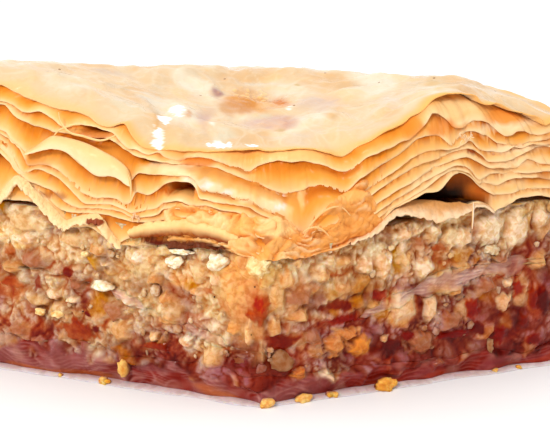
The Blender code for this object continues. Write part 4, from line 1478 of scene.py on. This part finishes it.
def syrup_nuts(name, glow, coat):
    """Chopped walnut flesh in syrup: glow is the light that soaks in, coat the most syrup on it."""
    material, tree, shader = food(name, glow, 1.2, 0.0, 0.07)
    dial(shader, {"Specular Tint": RED_SHINE})
    flesh = effect(tree, MOTTLE, Scale=1300.0, Low=0.35, High=0.7)
    darker = blend(tree, 1.0, painted(tree), tone("E8CCA4"), "MULTIPLY")
    colour = blend(tree, flesh, painted(tree), darker)
    specks = effect(tree, SPECKS, Scale=330.0, Size=0.045)
    tree.links.new(blend(tree, specks, colour, tone("3A1A12")), shader.inputs["Base Color"])
    tree.links.new(scaled(tree, wetness(tree), 0.7, 0.2), shader.inputs["Roughness"])
    tree.links.new(scaled(tree, wetness(tree), 0.0, coat), shader.inputs["Coat Weight"])
    relief(tree, shader, effect(tree, GRAIN, Coarse=1400.0, Fine=5000.0), 0.45, 0.18)
    return material


TOASTED_NUTS, SOAKED_NUTS = syrup_nuts("toasted_nuts", 0.5, 0.25), syrup_nuts("soaked_nuts", 0.5, 0.3)
LOOSE_NUTS = syrup_nuts("loose_nuts", 0.1, 0.2)

# %% The two nut masses
make_piece("upper_nut_mass", side_band(over_sheets, crust_foot, upper_nuts, 1150, 54), TOASTED_NUTS,
           "upper_nut_filling")
make_piece("lower_nut_mass", side_band(wavy_base, under_sheets, lower_nuts, 1150, 60), SOAKED_NUTS,
           "lower_nut_filling")

# %% [markdown]
# ## Chunks and bits of walnut
# A chopped walnut breaks into angular chunks with crumbly edges. The brightest and the loose ones
# stand out of the mass. Each is a ball that is flattened by a few random planes and roughened by
# bumps, and every one is different. The side that sits in the syrup takes the mass's colour.


# %% Shaping one chunk
def shaped_chunk(turn, height, size, flesh, dice, detail, sunk):
    """One chunk pressed into the cut side: size is its half width, depth and height in mm."""
    out = outward(turn)
    along = Vector((-out.y, out.x, 0.0))
    middle = outline(turn) - out * sunk * MM
    middle.z = height
    around = filling_colour(middle, soaked(middle, layer_share(turn, height)))
    planes = [(Vector([dice.gauss(0, 1) for _ in "xyz"]).normalized(), dice.uniform(0.5, 0.9))
              for _ in range(7)]
    planes.append((Vector((0.2 * dice.gauss(0, 1), 1.0, 0.2 * dice.gauss(0, 1))).normalized(), 0.6))
    lean = Matrix.Rotation(dice.uniform(-0.8, 0.8), 3, "Y")
    seed, rough = dice.uniform(0, 90), dice.uniform(0.15, 0.35)
    bm = bmesh.new()
    tint, wet = bm.verts.layers.float_color.new("tint"), bm.verts.layers.float.new("wet")
    bmesh.ops.create_icosphere(bm, subdivisions=detail, radius=1.0)
    for vertex in bm.verts:
        way = vertex.co.normalized()
        squeeze = 1.0 + sum((max(0.0, way.dot(plane)) / far) ** 12 for plane, far in planes)
        bumps = billow(way, 0.8, seed) + 0.5 * billow(way, 0.36, seed) + 0.25 * billow(way, 0.17, seed)
        ball = lean @ (way * squeeze ** (-1 / 12) * 1.35 * (1 + rough * (bumps - 0.7)))
        inside = smooth((0.28 - ball.y) / 0.6)
        colour = steeped(flesh, 0.35 * smooth(1.0 - bumps)).lerp(around, 0.9 * inside)
        vertex.co = middle + (along * ball.x * size[0] + out * ball.y * size[1]
                              + Vector((0, 0, ball.z * size[2]))) * MM
        vertex.co.z = max(vertex.co.z, 0.02 * MM)
        vertex[tint] = (*colour, 1.0)
        vertex[wet] = 0.25 + 0.75 * inside
    return bm


# %% [markdown]
# The chunks are scattered by throwing dice: a place that lies too close to a chunk already there is
# thrown again. So they never pile up, and the listed nuts keep their room.


# %% Scattering the chunks
def layer_share(turn, height):
    """Height within the filling: 0 at the base, 1 under the crust."""
    edge = outline(turn)
    return (height - base_level(edge)) / (crust_foot(edge) - base_level(edge))


ROUND_MM = 4 * math.hypot(half_long, half_short) / MM      # the way round in mm
FINE, COARSE = 3, 2      # how often the faces of a chunk are split


def painted_mesh():
    """An empty mesh that can carry the colour and the wetness of its points."""
    whole = bmesh.new()
    whole.verts.layers.float_color.new("tint")
    whole.verts.layers.float.new("wet")
    return whole


def add_listed(whole, upper, dice, taken):
    """The listed nuts of one layer: all take up room, and the loose ones are made as clustered lumps."""
    for x, height, wide, high, look in PLACED_NUTS:
        turn = turn_at(x * MM)
        if (height * MM > sheets_level(outline(turn))) != upper:
            continue
        taken.append((turn * ROUND_MM, height, 0.5 * (wide + high)))
        for part in range(1 + round(2.5 * wide) if look in LOOSE else 0):
            right, above, small = 0.0, 0.0, 0.75
            if part:
                right, above = dice.uniform(-0.6, 0.6) * wide, dice.uniform(-0.6, 0.6) * high
                small = dice.uniform(0.3, 0.5)
            size = (small * wide, small * 0.6 * (wide + high), small * high)
            add_mesh(whole, shaped_chunk(turn_at((x + right) * MM), (height + above) * MM, size,
                                         SHADES[look], dice, FINE, 0.5 - 0.2 * small))


def nut_layer(name, upper, count, smallest, largest, detail, dice, sunk, taken):
    """All chunks of one kind in one of the two layers, as one piece."""
    whole = painted_mesh()
    if detail == FINE:
        add_listed(whole, upper, dice, taken)
    placed, tries = 0, 0
    while placed < count and tries < 12 * count:
        tries += 1
        turn, share = dice.random(), dice.random()
        edge = outline(turn)
        low, high = base_level(edge), under_sheets(edge)
        if upper:
            low, high = over_sheets(edge), crust_foot(edge)
        radius = mix(smallest, largest, dice.random() ** 2)
        height = mix(low + 0.8 * radius * MM, high - 0.6 * radius * MM, share)
        spot = (turn * ROUND_MM, height / MM)
        if any(math.hypot(spot[0] - a, spot[1] - b) < 0.85 * (radius + r) for a, b, r in taken):
            continue
        taken.append((*spot, radius))
        placed += 1
        middle = edge + Vector((0, 0, height))
        syrup = soaked(middle, layer_share(turn, height))
        fresh = NUT_CREAM.lerp(NUT_TAN, dice.random())
        flesh = filling_colour(middle, syrup).lerp(fresh, dice.uniform(0.2, 1.0) * (1 - 0.7 * syrup))
        size = [radius * dice.uniform(0.7, 1.3) for _ in "xyz"]
        add_mesh(whole, shaped_chunk(turn, height, size, flesh, dice, detail, sunk + dice.uniform(0, 0.5)))
    bmesh.ops.recalc_face_normals(whole, faces=whole.faces)
    if upper:
        make_piece(name, whole, LOOSE_NUTS, "upper_nut_filling")
    else:
        make_piece(name, whole, LOOSE_NUTS, "lower_nut_filling")


# %% Chunks and bits
upper_taken, lower_taken = [], []
nut_layer("upper_walnut_chunks", True, 20, 0.7, 1.5, FINE, dice, 0.7, upper_taken)
nut_layer("lower_walnut_chunks", False, 16, 0.7, 1.5, FINE, dice, 0.8, lower_taken)
nut_layer("upper_walnut_bits", True, 120, 0.25, 0.5, COARSE, dice, 0.4, upper_taken)
nut_layer("lower_walnut_bits", False, 90, 0.25, 0.5, COARSE, dice, 0.5, lower_taken)
print(len(upper_taken), "places taken in the upper layer,", len(lower_taken), "in the lower")

# %% [markdown]
# ## Soaked sheets
# The sheets below and between the nuts drank so much syrup that they turned glassy. Seen from the
# cut they are a smooth wine-coloured film with fine lines that swirl where the sheets folded. A
# height pattern with bent coordinates gives both the lines and their relief.


# %% Lines of soaked phyllo
def sheet_lines(spot, pitch, swirl, seed):
    """Thin crests over the layer's height whose lines bend and fold."""
    bend = swirl * ripple(Vector((spot.x, spot.y, 1.3 * spot.z)), 7 * MM, seed)
    bend += 0.4 * swirl * ripple(Vector((spot.x, spot.y, 1.5 * spot.z)), 2.6 * MM, seed + 4)
    wave = 0.5 + 0.5 * math.sin(math.tau * (spot.z / (pitch * MM) + bend))
    return wave ** 3 * smooth(0.65 + 1.5 * ripple(spot, 3 * MM, seed + 9))


def base_face(spot, up):
    """The cut of the sheets at the foot: folds and fine lines, merging into the nuts at the top."""
    lines = 0.6 * sheet_lines(spot, 1.25, 2.8, 4.0) + 0.5 * sheet_lines(spot, 0.55, 3.2, 5.0)
    fold = ripple(Vector((spot.x, spot.y, 1.5 * spot.z)), 4.5 * MM, 8.0)
    lump = billow(spot, 2.2 * MM, 12.0) * smooth((up - 0.35) / 0.5)
    relief_mm = 0.1 * lines + 0.9 * fold + 0.45 * lump - 0.5 * (1 - up) ** 3
    side = smooth((spot.x / half_long + 0.1) / 0.5)
    film = tone("8E4844").lerp(tone("863030"), side)
    film = film.lerp(tone("86180A"), smooth(0.45 - 2.2 * fold))
    film = film.lerp(tone("B47A6A"), 0.55 * smooth(2.4 * ripple(spot, 3.2 * MM, 16.0) - 0.1))
    colour = film.lerp(tone("C8948A").lerp(tone("B06A62"), side), 0.5 * lines)
    amber = smooth(2.6 * ripple(Vector((spot.x, spot.y, 3 * spot.z)), 6 * MM, 14.0) + 0.3 - 1.6 * up)
    colour = colour.lerp(tone("C4661C").lerp(tone("A83008"), side), 0.6 * amber)
    nut_height, nut_colour, wet = nut_face(spot, 0.1)
    merged = smooth((up - 0.58 + 0.6 * ripple(spot, 2.2 * MM, 18.0)) / 0.3)
    colour = stained(colour, spot, 0.6).lerp(nut_colour, merged)
    return mix(relief_mm, nut_height, merged), colour, mix(1.0, wet, merged)


def middle_face(spot, up):
    """The cut of the middle sheets: a pale film with fine lines, or nuts where it is hidden."""
    lines = sheet_lines(spot, 0.8, 1.3, 6.0)
    hidden = sheets_hidden(spot)
    lumps = billow(spot, 2.4 * MM, 10.0)
    fine = sheet_lines(spot, 0.45, 1.1, 7.0)
    relief_mm = 0.2 * lines + 0.12 * fine + 0.4 * lumps + 0.5 * ripple(spot, 4 * MM, 9.0) - 0.45
    film = tone("B8867A").lerp(tone("E4C0AE"), min(1.0, 0.1 + 0.6 * lines + 0.6 * fine))
    nut_height, nut_colour, wet = nut_face(spot, 0.5)
    cover = (1 - hidden) * smooth(4.5 * up * (1 - up) - 0.1 + 0.9 * ripple(spot, 1.6 * MM, 11.0))
    shown = nut_colour.lerp(film, 0.75 * cover)
    return mix(nut_height, relief_mm, 0.8 * cover), shown, mix(wet, 0.7, cover)


# %% [markdown]
# The soaked sheets shine more than the nuts, and light goes a little way into them. Fine streaks
# darken them between the painted lines.


# %% Soaked sheets
def floor_level(spot):
    """The board that the piece lies on is level."""
    return 0.0


def soaked_sheets():
    """The glassy film of phyllo that is full of syrup."""
    material, tree, shader = food("soaked_sheets", 0.4, 1.2, 0.25, 0.08)
    dial(shader, {"Specular Tint": RED_SHINE})
    flesh = effect(tree, MOTTLE, Scale=500.0, Low=0.3, High=0.7)
    darker = blend(tree, 1.0, painted(tree), tone("C9A090"), "MULTIPLY")
    lined = blend(tree, effect(tree, STREAKS, Scale=500.0, Flatness=5.0), darker, painted(tree))
    tree.links.new(blend(tree, flesh, painted(tree), lined), shader.inputs["Base Color"])
    tree.links.new(scaled(tree, flesh, 0.35, 0.2), shader.inputs["Roughness"])
    relief(tree, shader, effect(tree, GRAIN, Coarse=900.0, Fine=3500.0), 0.3, 0.15)
    return material


GLASSY = soaked_sheets()
make_piece("bottom_sheets", side_band(floor_level, wavy_base, base_face, 960, 32), GLASSY,
           "bottom_phyllo")
make_piece("middle_sheets", side_band(under_sheets, over_sheets, middle_face, 960, 18), GLASSY,
           "middle_phyllo")

# %% [markdown]
# ## Syrup and crumbs at the foot
# A little syrup crept out from under the base and set as a thin mauve lip on the board, and a few
# golden crumbs fell off the cut and stick in it.


# %% Foot of the piece
def syrup_lip():
    """A thin lens of syrup round the foot, closed underneath."""
    def place(turn, up):
        edge, out = outline(turn), outward(turn)
        reach = 0.15 + 0.4 * smooth(0.5 + 1.4 * ripple(edge, 6 * MM, 80.0))
        across = 1 - abs(2 * up - 1)
        spot = edge + out * (mix(-1.6, reach, smooth(across) if up < 0.5 else across)) * MM
        spot.z = 0.38 * MM * (1 - across ** 2) if up < 0.5 else 0.0
        return spot, tone("C09898").lerp(tone("F0E0DE"), across), {}
    return round_grid(600, 12, place)


AT_FRONT = ((0.5, 0.9), (5.6, 0.85), (9.8, 0.6), (17.0, 1.1), (-22.3, 0.7))   # x and radius in mm


def foot_crumbs(count, dice):
    """Golden crumbs lying against the foot."""
    whole = painted_mesh()
    for n in range(count):
        if n < len(AT_FRONT):
            (x, radius), detail = AT_FRONT[n], FINE
            turn = turn_at(x * MM)
        else:
            radius, detail = dice.uniform(0.3, 0.6), COARSE
            turn = dice.random()
        size = [radius * dice.uniform(0.8, 1.2), radius, 0.7 * radius]
        flesh = tone("E8A840").lerp(tone("F4D08A"), dice.random())
        add_mesh(whole, shaped_chunk(turn, 0.55 * radius * MM, size, flesh, dice, detail, 0.1))
    return whole


make_piece("syrup_lip", syrup_lip(), GLASSY, "bottom_phyllo")
make_piece("foot_crumbs", foot_crumbs(26, dice), SOAKED_NUTS, "bottom_phyllo")

# %% [markdown]
# ## Floor, light and camera
# A pale floor and bright, soft light from all round, with one broad lamp above and to the left, so
# that the glaze shines. The camera looks along +Y, a little down, at the pressed corner.

# %% Floor
bpy.ops.mesh.primitive_plane_add(size=6.0, location=(0, 0, 0))
floor = bpy.context.object
floor.name = "floor"
paint = bpy.data.materials.new("white_board")
paint.use_nodes = True
dial(paint.node_tree.nodes["Principled BSDF"], {"Base Color": (0.9, 0.9, 0.9, 1), "Roughness": 0.6})
floor.data.materials.append(paint)

# %% [markdown]
# The room is white, brightest above and behind the piece and dimmer in front of it. The difference
# shades every crumb a little, where even light would flatten it.

# %% Light from all round
sky = bpy.data.worlds.new("studio")
sky.use_nodes = True
room = sky.node_tree
way = node(room, "ShaderNodeTexCoord")
rise = node(room, "ShaderNodeVectorMath", {1: (0.0, 0.6, 0.8)}, operation="DOT_PRODUCT")
light = node(room, "ShaderNodeMapRange",
             {"From Min": -0.5, "From Max": 0.6, "To Min": 0.3, "To Max": 1.25},
             interpolation_type="SMOOTHSTEP")
walls = dial(room.nodes["Background"], {"Color": (1, 1, 1, 1)})
join(room, (way, "Generated", rise, 0), (rise, "Value", light, "Value"),
     (light, "Result", walls, "Strength"))
bpy.context.scene.world = sky


# %% Lamp and camera
def add_lamp(name, place, aim, size, power):
    """A round lamp that shines at a place."""
    data = bpy.data.lights.new(name, "AREA")
    data.shape = "DISK"
    data.size = size
    data.energy = power
    lamp = bpy.data.objects.new(name, data)
    lamp.location = place
    lamp.rotation_euler = (Vector(aim) - Vector(place)).to_track_quat("-Z", "Y").to_euler()
    bpy.context.scene.collection.objects.link(lamp)


add_lamp("window", (-0.24, -0.46, 0.40), (0, 0, 0.02), 0.14, 2.3)

LOOKS_DOWN = 14                    # degrees
STANDS = (1.7, -183.7, 71.6)       # mm from the foot of the front corner
camera_data = bpy.data.cameras.new("camera")
camera_data.lens = 96.0
camera_data.clip_start = 0.01
camera = bpy.data.objects.new("camera", camera_data)
camera.location = Vector(STANDS) * MM + Vector((0, base_box[0].y, 0))
camera.rotation_euler = (math.radians(90 - LOOKS_DOWN), 0, 0)
bpy.context.scene.collection.objects.link(camera)
bpy.context.scene.camera = camera
bpy.context.scene.view_settings.view_transform = "Standard"
